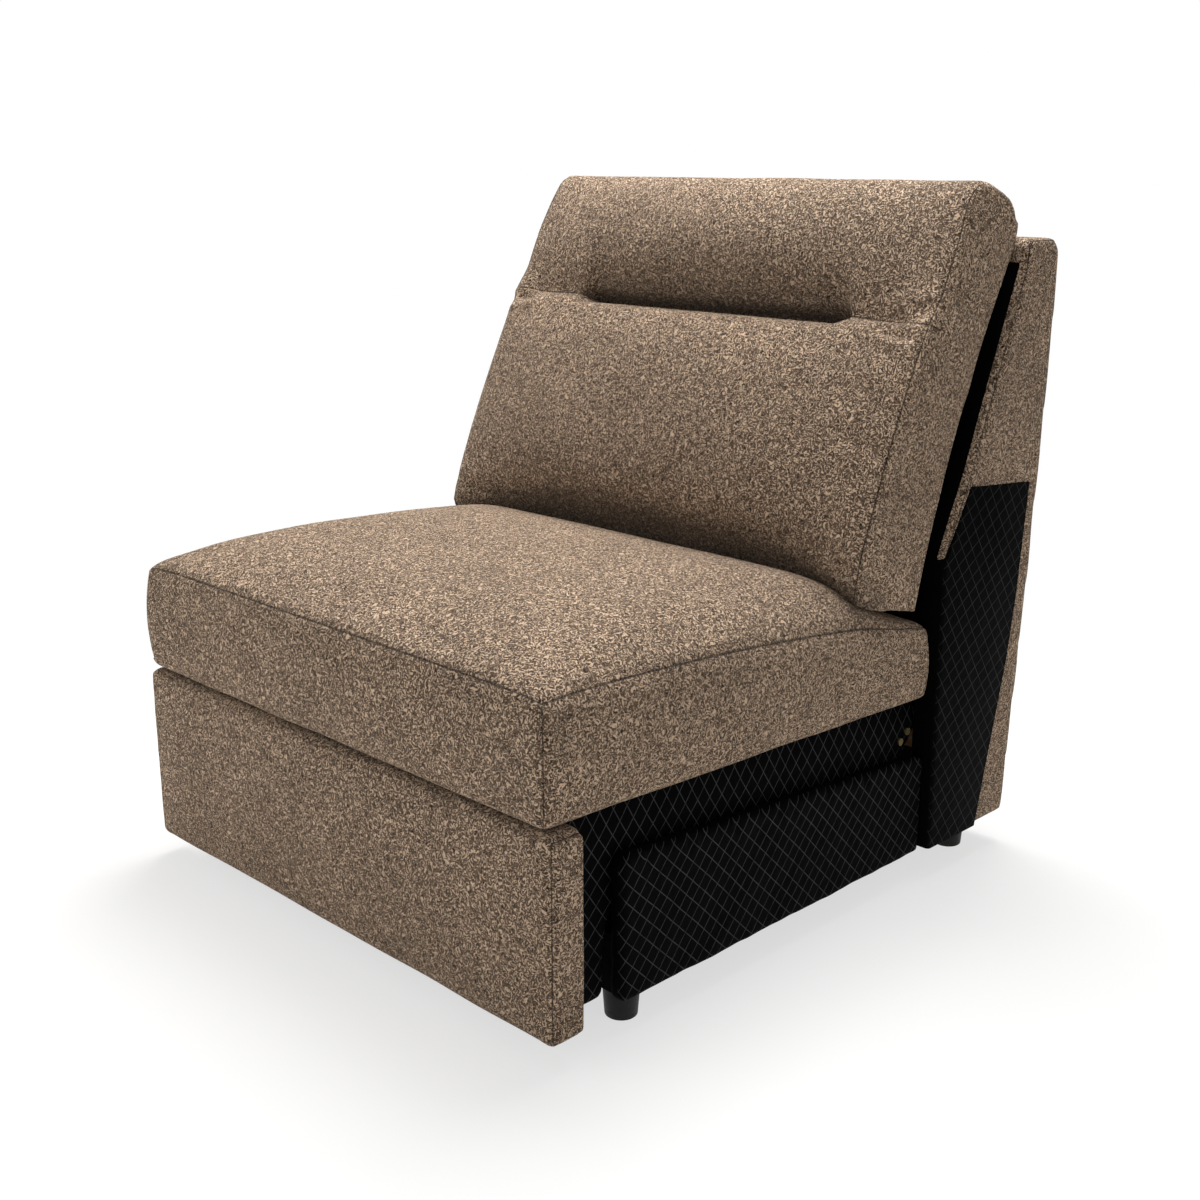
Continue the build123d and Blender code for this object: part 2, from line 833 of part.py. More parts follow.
with BuildPart() as back_panel_cloth:
    with BuildSketch(back_plane):
        with Locations((0, frame_mid)):
            Rectangle(2 * stile_outer_x, frame_height)
    extrude(amount=panel_cloth)
back_panel_cloth.part.label = "back_panel_cloth"
export_step(back_panel_cloth.part, "parts/back_panel_cloth.step")

with BuildPart() as back_webbing:
    with BuildSketch(webbing_plane):
        for strap in range(webbing_count):
            with Locations((0, webbing_bottom + strap * webbing_pitch)):
                Rectangle(2 * stile_outer_x, webbing_height)
    extrude(amount=webbing_thickness)
back_webbing.part.label = "back_webbing"
export_step(back_webbing.part, "parts/back_webbing.step")

cushion_back = panel_cloth + back_frame_thickness + webbing_thickness + back_cushion_gap

with BuildPart() as back_cushion:
    for step in loft_steps:
        fullness = 1 - abs(step) ** 3
        drawn = cushion_tilt * (1 - fullness)
        low_rear = back_point(back_cushion_bottom + back_cushion_heel + drawn, cushion_back)
        low_front = back_point(back_cushion_bottom + drawn, back_cushion_depth)
        tuck = back_point(tuck_height, back_cushion_depth)
        high_front = back_point(back_cushion_top - drawn, head_depth + back_cushion_swell * fullness)
        high_rear = back_point(back_cushion_top - back_cushion_nape - drawn, cushion_back)
        swell = back_cushion_depth + back_cushion_swell + back_cushion_crown * fullness
        lumbar_mid = (back_cushion_bottom + tuck_height) / 2
        head_mid = (back_cushion_top + tuck_height) / 2
        with BuildSketch(Plane.YZ.offset(step * cushion_half_width)):
            with BuildLine():
                ThreePointArc(
                    low_rear,
                    back_point(back_cushion_bottom - back_cushion_swell + drawn, back_cushion_belly),
                    low_front,
                )
                ThreePointArc(low_front, back_point(lumbar_mid, swell), tuck)
                ThreePointArc(tuck, back_point(head_mid, swell - 2 * back_cushion_swell), high_front)
                ThreePointArc(
                    high_front,
                    back_point(back_cushion_top + 2 * back_cushion_swell - drawn, head_depth / 2),
                    high_rear,
                )
                Line(high_rear, low_rear)
            make_face()
    loft()
back_cushion.part.label = "back_cushion"
export_step(back_cushion.part, "parts/back_cushion.step")

# ---------------------------------------------------------------- back hinge


def layer_x(layer):
    """Inner face of a layer of steel links, counted inwards from the seat side."""
    return beam_inner_x - plate_thickness - layer * (plate_thickness + layer_gap)


seat_plate_x = layer_x(0)
seat_plate_rear_y = hinge_y + hinge_lug
behind_cushion_y = hinge_y - hinge_lug

with BuildPart() as hinge_plates:
    for side_name, side in SIDES:
        with BuildSketch(Plane.YZ.offset(side * seat_plate_x)):
            with BuildLine():
                Polyline(
                    (behind_cushion_y, hinge_z),
                    (behind_cushion_y, deck_z(hinge_y) - hinge_plate_top_gap),
                    (behind_cushion_y - hinge_plate_length, deck_z(hinge_y) - hinge_lug),
                    (behind_cushion_y - hinge_plate_length, hinge_plate_bottom_z),
                    (behind_cushion_y, hinge_plate_bottom_z),
                    (seat_plate_rear_y, hinge_plate_heel_z),
                    (seat_plate_rear_y, hinge_z),
                )
                ThreePointArc(
                    (seat_plate_rear_y, hinge_z),
                    (hinge_y, hinge_z + hinge_lug),
                    (behind_cushion_y, hinge_z),
                )
            make_face()
            with Locations(*side_bolts):
                Circle(side_bolt_radius + pin_clearance, mode=Mode.SUBTRACT)
        extrude(amount=side * plate_thickness)
        with BuildSketch(Plane.YZ.offset(side * seat_plate_x)):
            with Locations((hinge_y, hinge_z)):
                Circle(pin_radius)
        extrude(amount=-side * (plate_thickness + 2 * layer_gap - running_gap))
        with BuildSketch(Plane.YZ.offset(side * (layer_x(1) - running_gap))):
            with Locations((hinge_y, hinge_z)):
                Circle(pin_head_radius)
        extrude(amount=-side * pin_head_height)
hinge_plates.part.label = "hinge_plates"
export_step(hinge_plates.part, "parts/hinge_plates.step")

with BuildPart() as back_brackets:
    for side_name, side in SIDES:
        with BuildSketch(Plane.YZ.offset(side * layer_x(1))):
            with BuildLine():
                Polyline(
                    (behind_cushion_y, hinge_z),
                    (behind_cushion_y, hinge_z + bracket_front_rise),
                    back_point(back_frame_bottom, panel_cloth + back_frame_thickness),
                    back_point(0, panel_cloth + back_frame_thickness),
                    back_point(0, panel_cloth),
                    back_point(back_frame_bottom, panel_cloth),
                    (seat_plate_rear_y, hinge_z + bracket_rear_rise),
                    (seat_plate_rear_y, hinge_z),
                )
                ThreePointArc(
                    (seat_plate_rear_y, hinge_z),
                    (hinge_y, hinge_z - hinge_lug),
                    (behind_cushion_y, hinge_z),
                )
            make_face()
            with Locations((hinge_y, hinge_z)):
                Circle(pin_radius + pin_clearance, mode=Mode.SUBTRACT)
        extrude(amount=side * plate_thickness)
back_brackets.part.label = "back_brackets"
export_step(back_brackets.part, "parts/back_brackets.step")

# ---------------------------------------------------------------- footrest

board_front_y = front_y + panel_thickness - footboard_thickness
board_rear_y = front_y + panel_thickness
board_half_width = panel_half_width - footboard_inset

with BuildPart() as footrest_board:
    with BuildSketch(Plane.YZ):
        with BuildLine():
            Polyline(
                (board_front_y, panel_bottom_z + footboard_inset),
                (board_rear_y, panel_bottom_z + footboard_inset),
                (board_rear_y, panel_top_z - footboard_inset),
                (board_front_y, panel_top_z - footboard_inset),
                close=True,
            )
        make_face()
    extrude(amount=board_half_width, both=True)
footrest_board.part.label = "footrest_board"
export_step(footrest_board.part, "parts/footrest_board.step")

with BuildPart() as footrest_pad:
    for step in loft_steps:
        drawn = panel_crown * abs(step) ** 3
        high_z = panel_top_z - drawn / 2
        low_z = panel_bottom_z + drawn / 2
        brow_z_high = panel_top_z - 2 * panel_crown - drawn
        brow_z_low = panel_bottom_z + 2 * panel_crown + drawn
        edge_y = front_y + panel_crown / 2 + drawn
        with BuildSketch(Plane.YZ.offset(step * panel_half_width)):
            with BuildLine():
                Line((board_front_y, low_z), (board_front_y, high_z))
                ThreePointArc(
                    (board_front_y, high_z),
                    ((edge_y + board_front_y) / 2 - panel_crown, high_z - drawn / 4 - panel_edge_round),
                    (edge_y, brow_z_high),
                )
                ThreePointArc(
                    (edge_y, brow_z_high),
                    (front_y + drawn, (panel_top_z + panel_bottom_z) / 2),
                    (edge_y, brow_z_low),
                )
                ThreePointArc(
                    (edge_y, brow_z_low),
                    ((edge_y + board_front_y) / 2 - panel_crown, low_z + drawn / 4 + panel_edge_round),
                    (board_front_y, low_z),
                )
            make_face()
    loft()
footrest_pad.part.label = "footrest_pad"
export_step(footrest_pad.part, "parts/footrest_pad.step")

footrest_cloth_height = panel_top_z - panel_bottom_z - 2 * (footboard_inset + footrest_cloth_inset)
with BuildPart() as footrest_back_cloth:
    with BuildSketch(Plane.XZ.offset(-board_rear_y)):
        with Locations((0, (panel_top_z + panel_bottom_z) / 2)):
            Rectangle(2 * (board_half_width - footrest_cloth_inset), footrest_cloth_height)
    extrude(amount=-panel_cloth)
footrest_back_cloth.part.label = "footrest_back_cloth"
export_step(footrest_back_cloth.part, "parts/footrest_back_cloth.step")

# ---------------------------------------------------------------- footrest links


def shift(point, step):
    """Move a (y, z) point by a (y, z) step."""
    return (point[0] + step[0], point[1] + step[1])


swing_angle = math.radians(swing_back_angle)
swing_step = (swing_length * math.sin(swing_angle), -swing_length * math.cos(swing_angle))
carrier_pivot = shift(swing_pivot, swing_step)
guide_pivot = shift(swing_pivot, guide_offset)
guide_end = shift(carrier_pivot, guide_offset)
toggle_pivot = shift(carrier_pivot, toggle_offset)
toggle_end = shift(foot_pivot, toggle_offset)
link_radius = link_width / 2
pin_reach = layer_gap + plate_thickness + running_gap
bracket_y = board_rear_y + panel_cloth

with BuildPart() as mechanism_plates:
    for side_name, side in SIDES:
        with BuildSketch(Plane.YZ.offset(side * seat_plate_x)):
            with Locations(swing_pivot, guide_pivot):
                Circle(pivot_plate_radius)
            make_hull()
        extrude(amount=side * plate_thickness)
        with BuildSketch(Plane.YZ.offset(side * seat_plate_x)):
            with Locations(swing_pivot, guide_pivot):
                Circle(pin_radius)
        extrude(amount=-side * (layer_gap + plate_thickness + pin_reach))
        with BuildSketch(Plane.YZ.offset(side * (layer_x(2) - running_gap))):
            with Locations(swing_pivot, guide_pivot):
                Circle(pin_head_radius)
        extrude(amount=-side * pin_head_height)
mechanism_plates.part.label = "mechanism_plates"
export_step(mechanism_plates.part, "parts/mechanism_plates.step")

with BuildPart() as swing_links:
    for side_name, side in SIDES:
        with BuildSketch(Plane.YZ.offset(side * layer_x(2))):
            with Locations(swing_pivot, carrier_pivot, toggle_pivot):
                Circle(link_radius)
            make_hull()
            with Locations(swing_pivot):
                Circle(pin_radius + pin_clearance, mode=Mode.SUBTRACT)
        extrude(amount=side * plate_thickness)
        with BuildSketch(Plane.YZ.offset(side * layer_x(2))):
            with Locations(carrier_pivot):
                Circle(pin_radius)
        extrude(amount=-side * pin_reach)
        with BuildSketch(Plane.YZ.offset(side * (layer_x(3) - running_gap))):
            with Locations(carrier_pivot):
                Circle(pin_head_radius)
        extrude(amount=-side * pin_head_height)
        with BuildSketch(Plane.YZ.offset(side * (layer_x(2) + plate_thickness))):
            with Locations(toggle_pivot):
                Circle(pin_radius)
        extrude(amount=side * pin_reach)
        with BuildSketch(Plane.YZ.offset(side * (layer_x(1) + plate_thickness + running_gap))):
            with Locations(toggle_pivot):
                Circle(pin_head_radius)
        extrude(amount=side * pin_head_height)
swing_links.part.label = "swing_links"
export_step(swing_links.part, "parts/swing_links.step")

with BuildPart() as guide_links:
    for side_name, side in SIDES:
        with BuildSketch(Plane.YZ.offset(side * layer_x(2))):
            with Locations(guide_pivot, guide_end):
                Circle(link_radius)
            make_hull()
            with Locations(guide_pivot):
                Circle(pin_radius + pin_clearance, mode=Mode.SUBTRACT)
        extrude(amount=side * plate_thickness)
        with BuildSketch(Plane.YZ.offset(side * layer_x(2))):
            with Locations(guide_end):
                Circle(pin_radius)
        extrude(amount=-side * pin_reach)
        with BuildSketch(Plane.YZ.offset(side * (layer_x(3) - running_gap))):
            with Locations(guide_end):
                Circle(pin_head_radius)
        extrude(amount=-side * pin_head_height)
guide_links.part.label = "guide_links"
export_step(guide_links.part, "parts/guide_links.step")

carrier_holes = (
    (carrier_pivot, pin_clearance),
    (foot_pivot, pin_clearance),
    (guide_end, open_pivot_clearance),
)
with BuildPart() as carrier_links:
    for side_name, side in SIDES:
        for arm_end in (guide_end, foot_pivot):
            with BuildSketch(Plane.YZ.offset(side * layer_x(3))):
                with Locations(carrier_pivot, arm_end):
                    Circle(link_radius)
                make_hull()
            extrude(amount=side * plate_thickness)
        for hole_place, hole_clearance in carrier_holes:
            with BuildSketch(Plane.YZ.offset(side * layer_x(3))):
                with Locations(hole_place):
                    Circle(pin_radius + hole_clearance)
            extrude(amount=side * plate_thickness, mode=Mode.SUBTRACT)
carrier_links.part.label = "carrier_links"
export_step(carrier_links.part, "parts/carrier_links.step")

with BuildPart() as toggle_links:
    for side_name, side in SIDES:
        with BuildSketch(Plane.YZ.offset(side * layer_x(1))):
            with Locations(toggle_pivot, toggle_end):
                Circle(link_radius)
            make_hull()
            with Locations(toggle_pivot):
                Circle(pin_radius + pin_clearance, mode=Mode.SUBTRACT)
            with Locations(toggle_end):
                Circle(pin_radius + open_pivot_clearance, mode=Mode.SUBTRACT)
        extrude(amount=side * plate_thickness)
toggle_links.part.label = "toggle_links"
export_step(toggle_links.part, "parts/toggle_links.step")

with BuildPart() as footrest_brackets:
    for side_name, side in SIDES:
        with BuildSketch(Plane.YZ.offset(side * (layer_x(2) + plate_thickness - flange_width))):
            with BuildLine():
                Polyline(
                    (bracket_y, foot_pivot[1] - 2 * link_radius),
                    (bracket_y, toggle_end[1] + 0.5 * link_radius),
                    (bracket_y + plate_thickness, toggle_end[1] + 0.5 * link_radius),
                    (bracket_y + plate_thickness, foot_pivot[1] - 2 * link_radius),
                    close=True,
                )
            make_face()
        extrude(amount=side * flange_width)
        with BuildSketch(Plane.YZ.offset(side * layer_x(2))):
            with Locations(
                (bracket_y + link_radius, foot_pivot[1]),
                (bracket_y + link_radius, toggle_end[1] - link_radius / 2),
            ):
                Circle(link_radius)
            with Locations(foot_pivot, toggle_end):
                Circle(link_radius)
            make_hull()
        extrude(amount=side * plate_thickness)
        with BuildSketch(Plane.YZ.offset(side * layer_x(2))):
            with Locations(foot_pivot):
                Circle(pin_radius)
        extrude(amount=-side * pin_reach)
        with BuildSketch(Plane.YZ.offset(side * (layer_x(3) - running_gap))):
            with Locations(foot_pivot):
                Circle(pin_head_radius)
        extrude(amount=-side * pin_head_height)
        with BuildSketch(Plane.YZ.offset(side * (layer_x(2) + plate_thickness))):
            with Locations(toggle_end):
                Circle(pin_radius)
        extrude(amount=side * pin_reach)
        with BuildSketch(Plane.YZ.offset(side * (layer_x(1) + plate_thickness + running_gap))):
            with Locations(toggle_end):
                Circle(pin_head_radius)
        extrude(amount=side * pin_head_height)
footrest_brackets.part.label = "footrest_brackets"
export_step(footrest_brackets.part, "parts/footrest_brackets.step")
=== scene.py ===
"""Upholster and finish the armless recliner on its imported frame.

Metres throughout. The floor is Z = 0, the front of the seat faces -Y and +X is the
sitter's left. Padded pieces start as plain blocks, are remeshed, moulded, inflated as
cloth under pressure and then sewn; boards get rounded cloth covers; steel, timber,
webbing and springs keep their own solids and get their finishes.
"""

import json
import logging
import math
from dataclasses import dataclass
from enum import Enum
from typing import Callable, Iterable, Sequence

import bmesh
import bpy
import numpy as np
from mathutils import Euler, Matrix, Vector


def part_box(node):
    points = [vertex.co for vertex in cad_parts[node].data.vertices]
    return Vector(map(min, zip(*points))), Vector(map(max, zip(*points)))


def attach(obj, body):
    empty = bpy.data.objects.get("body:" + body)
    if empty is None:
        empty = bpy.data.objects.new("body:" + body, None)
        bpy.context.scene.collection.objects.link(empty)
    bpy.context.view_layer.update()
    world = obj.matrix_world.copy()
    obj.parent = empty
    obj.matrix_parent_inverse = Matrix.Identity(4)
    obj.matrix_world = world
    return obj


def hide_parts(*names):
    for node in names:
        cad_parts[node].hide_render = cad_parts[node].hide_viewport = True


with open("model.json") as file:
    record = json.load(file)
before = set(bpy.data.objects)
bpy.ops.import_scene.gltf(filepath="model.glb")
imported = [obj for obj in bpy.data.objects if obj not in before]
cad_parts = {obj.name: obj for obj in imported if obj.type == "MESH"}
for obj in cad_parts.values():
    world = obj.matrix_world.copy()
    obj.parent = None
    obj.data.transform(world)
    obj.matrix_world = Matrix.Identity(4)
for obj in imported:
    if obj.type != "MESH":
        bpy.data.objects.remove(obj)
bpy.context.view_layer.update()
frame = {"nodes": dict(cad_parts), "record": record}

LOG = logging.getLogger("recliner")
Points = np.ndarray
Outline = Sequence[tuple[float, float]]


# ------------------------------------------------------------------ colours and nodes


def linear(hex_colour: str) -> tuple[float, float, float, float]:
    """Turn an sRGB hex colour into the linear colour that a socket takes.

    Args:
        hex_colour: six hex digits, such as "857261".

    Returns:
        Red, green, blue and alpha, linear, from 0 to 1.
    """
    parts = [int(hex_colour[i : i + 2], 16) / 255 for i in (0, 2, 4)]
    curve = [p / 12.92 if p <= 0.04045 else ((p + 0.055) / 1.055) ** 2.4 for p in parts]
    return (curve[0], curve[1], curve[2], 1.0)


class Tree:
    """The node tree of one material, with short ways to add and join nodes."""

    def __init__(self, name: str) -> None:
        """Start a material with only its output node.

        Args:
            name: the material's name, which says what it is made of.
        """
        self.material = bpy.data.materials.new(name)
        self.material.use_nodes = True
        self.nodes = self.material.node_tree.nodes
        self.links = self.material.node_tree.links
        self.nodes.clear()
        self.output = self.nodes.new("ShaderNodeOutputMaterial")

    def add(self, kind: str, settings: dict | None = None, **inputs: object) -> bpy.types.Node:
        """Add one node.

        Args:
            kind: the node's type, without the leading "ShaderNode".
            settings: the node's own properties, such as its operation.
            inputs: a value or another node's socket for each input. An underscore in
                a name stands for a space, and a name like _0 is a place in the list.

        Returns:
            The new node.
        """
        node = self.nodes.new("ShaderNode" + kind)
        for key, value in (settings or {}).items():
            setattr(node, key, value)
        for key, value in inputs.items():
            place = int(key[1:]) if key[0] == "_" else key.replace("_", " ")
            if isinstance(value, bpy.types.NodeSocket):
                self.links.new(value, node.inputs[place])
            else:
                node.inputs[place].default_value = value
        return node

    def math(self, operation: str, *values: object) -> bpy.types.NodeSocket:
        """Do a sum on up to three numbers or sockets and return its result."""
        inputs = {f"_{i}": value for i, value in enumerate(values)}
        return self.add("Math", {"operation": operation}, **inputs).outputs[0]

    def ramp(
        self, value: object, low: float, high: float, start: float = 0.0, end: float = 1.0
    ) -> bpy.types.NodeSocket:
        """Ease a value from one number to another.

        Args:
            value: the number or socket to read.
            low: where the easing starts.
            high: where it ends.
            start: the result at and below low.
            end: the result at and above high.

        Returns:
            The eased value.
        """
        node = self.add(
            "MapRange",
            {"interpolation_type": "SMOOTHSTEP"},
            Value=value,
            From_Min=low,
            From_Max=high,
            To_Min=start,
            To_Max=end,
        )
        return node.outputs["Result"]

    def mix(self, factor: object, first: object, second: object) -> bpy.types.NodeSocket:
        """Mix two colours.

        Args:
            factor: the share of the second colour.
            first: the first colour, or the socket that gives it.
            second: the second colour, or its socket.

        Returns:
            The mixed colour.
        """
        node = self.add("Mix", {"data_type": "RGBA"}, Factor=factor)
        for place, value in ((6, first), (7, second)):
            if isinstance(value, bpy.types.NodeSocket):
                self.links.new(value, node.inputs[place])
            else:
                node.inputs[place].default_value = value
        return node.outputs[2]

    def noise(
        self, where: object, scale: float, detail: float = 2.0, **inputs: object
    ) -> bpy.types.NodeSocket:
        """Sample a noise at this many waves a metre."""
        node = self.add("TexNoise", None, Vector=where, Scale=scale, Detail=detail, **inputs)
        return node.outputs["Fac"]

    def place(
        self,
        turn: tuple[float, float, float] = (0, 0, 0),
        stretch: tuple[float, float, float] = (1, 1, 1),
    ) -> bpy.types.NodeSocket:
        """Give the object's own coordinates, in metres, turned and stretched.

        Args:
            turn: how far they are turned about each axis, in radians.
            stretch: how much each axis is multiplied by.

        Returns:
            The coordinates.
        """
        where = self.add("TexCoord").outputs["Object"]
        node = self.add("Mapping", None, Vector=where, Rotation=turn, Scale=stretch)
        return node.outputs["Vector"]

    def bump(
        self, height: object, depth: float, under: object | None = None
    ) -> bpy.types.NodeSocket:
        """Turn a height into a normal.

        Args:
            height: the relief, from 0 to 1.
            depth: the full depth of the relief in metres.
            under: a coarser normal that this relief lies on.

        Returns:
            The normal.
        """
        node = self.add("Bump", None, Height=height, Distance=depth, Strength=1.0)
        if under is not None:
            self.links.new(under, node.inputs["Normal"])
        return node.outputs["Normal"]

    def surface(self, **inputs: object) -> bpy.types.Material:
        """Finish the material with one principled shader.

        Args:
            inputs: a value or a socket for each of the shader's inputs, as in add().

        Returns:
            The finished material.
        """
        shader = self.add("BsdfPrincipled", None, **inputs)
        self.links.new(shader.outputs[0], self.output.inputs["Surface"])
        return self.material


# ------------------------------------------------------------------ finishes


# What a piece's points carry for the cloth: the distance in metres to a seam and to a crease,
# and how much painted shade darkens the cloth there, from 0 to 1. Where nothing is near, the distance
# is FAR.
SEAM = "seam"
CREASE = "crease"
PAINTED_SHADE = "painted_shade"
FAR = 0.1


@dataclass(frozen=True)
class Finish:
    """Anything that a surface is finished with."""

    name: str

    def make(self) -> bpy.types.Material:
        """Build the material's nodes."""
        raise NotImplementedError

    def material(self) -> bpy.types.Material:
        """Return the material, built the first time that it is asked for."""
        return bpy.data.materials.get(self.name) or self.make()


@dataclass(frozen=True)
class CurledYarnCloth(Finish):
    """Woven cloth of short curled yarns, light tan curls lying on a darker brown ground.

    The eye gets a nubby, matte, two-tone surface with a faint downy edge, and thin dark
    seams with small stitches where a piece has them. Where a piece marks it, painted shade
    darkens the colour: in the deep tuck and at the foot of the back.

    The real yarns are about 1 mm thick and curl every few millimetres. They are drawn
    nearly twice as thick, because thinner ones are too fine to show in a view of the
    whole piece.
    """

    ground: str = "6d5847"
    yarn: str = "c2a88e"
    deep: str = "1f1711"
    down: str = "d9c6b2"
    yarn_width: float = 0.0019
    yarn_length: float = 3.0
    curl: float = 0.010
    curl_length: float = 0.0085
    gap_edges: tuple[float, float, float, float] = (0.505, 0.56, 0.59, 0.635)
    top_edges: tuple[float, float] = (0.62, 0.675)
    relief: float = 0.0010
    nap: float = 0.25
    worn: tuple[float, float] = (0.93, 1.07)
    seam_width: float = 0.0011
    seam_dark: float = 0.80
    seam_relief: float = 1.6
    stitch: float = 0.0046
    # How far painted shade darkens the colour where it is strongest.
    painted_shade_strength: float = 0.72
    sewn: bool = True

    def make(self) -> bpy.types.Material:
        """Build the curls, their relief, the wear and the seams.

        Returns:
            The material.
        """
        t = Tree(self.name)
        where = t.place()
        lay = self.curled(t, where)
        flat = 1 / self.yarn_length
        runs = [
            self.yarns(t, lay, (0.5, 0.3, 0.2), (flat, 1, 1)),
            self.yarns(t, lay, (0.4, 0.6, 1.0), (1, flat, 1)),
            self.yarns(t, lay, (1.2, 0.2, 0.7), (1, 1, flat)),
        ]
        strands = t.math("MAXIMUM", runs[0], t.math("MAXIMUM", runs[1], runs[2]))
        opens, open_by, closes, closed_by = self.gap_edges
        gaps = t.math(
            "MULTIPLY", t.ramp(strands, opens, open_by), t.ramp(strands, closes, closed_by, 1.0, 0.0)
        )
        tops = t.ramp(strands, *self.top_edges)
        colour = t.mix(gaps, linear(self.ground), linear(self.deep))
        colour = t.mix(tops, colour, linear(self.yarn))
        shade = t.ramp(t.noise(where, 9.0, 3.0), 0.3, 0.7, *self.worn)
        # Painted shade: the colour is darkened where the piece marks it, as in the deep tuck.
        painted_shade = t.add("Attribute", {"attribute_name": PAINTED_SHADE}).outputs["Fac"]
        shade = t.math("MULTIPLY", shade, t.math("MULTIPLY_ADD", painted_shade, -self.painted_shade_strength, 1.0))
        relief = t.math("MULTIPLY_ADD", gaps, -0.5, tops)
        if self.sewn:
            seam = t.math("MINIMUM", self.distance(t, SEAM), self.distance(t, CREASE))
            run = t.add("SeparateXYZ", None, _0=where)
            along = t.math("ADD", run.outputs[0], t.math("ADD", run.outputs[1], run.outputs[2]))
            beat = t.math("SINE", t.math("MULTIPLY", along, 2 * math.pi / self.stitch))
            width = t.math("MULTIPLY_ADD", beat, 0.25, 1.0)
            groove = t.ramp(t.math("DIVIDE", seam, width), 0.0, 1.9 * self.seam_width, 1.0, 0.0)
            kept = t.math("SUBTRACT", 1.0, t.math("MULTIPLY", groove, self.seam_dark))
            shade = t.math("MULTIPLY", shade, kept)
            relief = t.math("SUBTRACT", relief, t.math("MULTIPLY", groove, self.seam_relief))
        grey = t.add("CombineColor", None, Red=shade, Green=shade, Blue=shade)
        toned = t.add("Mix", {"data_type": "RGBA", "blend_type": "MULTIPLY"}, Factor=1.0)
        t.links.new(colour, toned.inputs[6])
        t.links.new(grey.outputs[0], toned.inputs[7])
        return t.surface(
            Base_Color=toned.outputs[2],
            Roughness=0.93,
            Specular_IOR_Level=0.22,
            IOR=1.46,
            Sheen_Weight=self.nap,
            Sheen_Roughness=0.45,
            Sheen_Tint=linear(self.down),
            Normal=t.bump(relief, self.relief),
        )

    def curled(self, t: Tree, where: object) -> bpy.types.NodeSocket:
        """Stir the coordinates, so that straight yarns lie in curls.

        Args:
            t: the material's tree.
            where: the object's own coordinates.

        Returns:
            The stirred coordinates.
        """
        stir = t.add("TexNoise", None, Vector=where, Scale=1 / self.curl_length, Detail=0.0)
        shift = t.add("VectorMath", {"operation": "SCALE"}, _0=stir.outputs["Color"], Scale=self.curl)
        return t.add("VectorMath", {"operation": "ADD"}, _0=where, _1=shift.outputs[0]).outputs[0]

    def yarns(
        self,
        t: Tree,
        lay: object,
        turn: tuple[float, float, float],
        stretch: tuple[float, float, float],
    ) -> bpy.types.NodeSocket:
        """Lay short yarns side by side along one direction.

        Args:
            t: the material's tree.
            lay: the curled coordinates.
            turn: how the direction is turned, in radians.
            stretch: 1 across the yarns and less along them.

        Returns:
            The height of the yarns, near 0.5 between them.
        """
        run = t.add("Mapping", None, Vector=lay, Rotation=turn, Scale=stretch)
        return t.noise(run.outputs["Vector"], 1 / self.yarn_width, 0.0)

    @staticmethod
    def distance(t: Tree, attribute: str) -> bpy.types.NodeSocket:
        """Read how far a point lies from a line of stitching."""
        node = t.add("Attribute", {"attribute_name": attribute})
        return t.math("ABSOLUTE", node.outputs["Fac"])


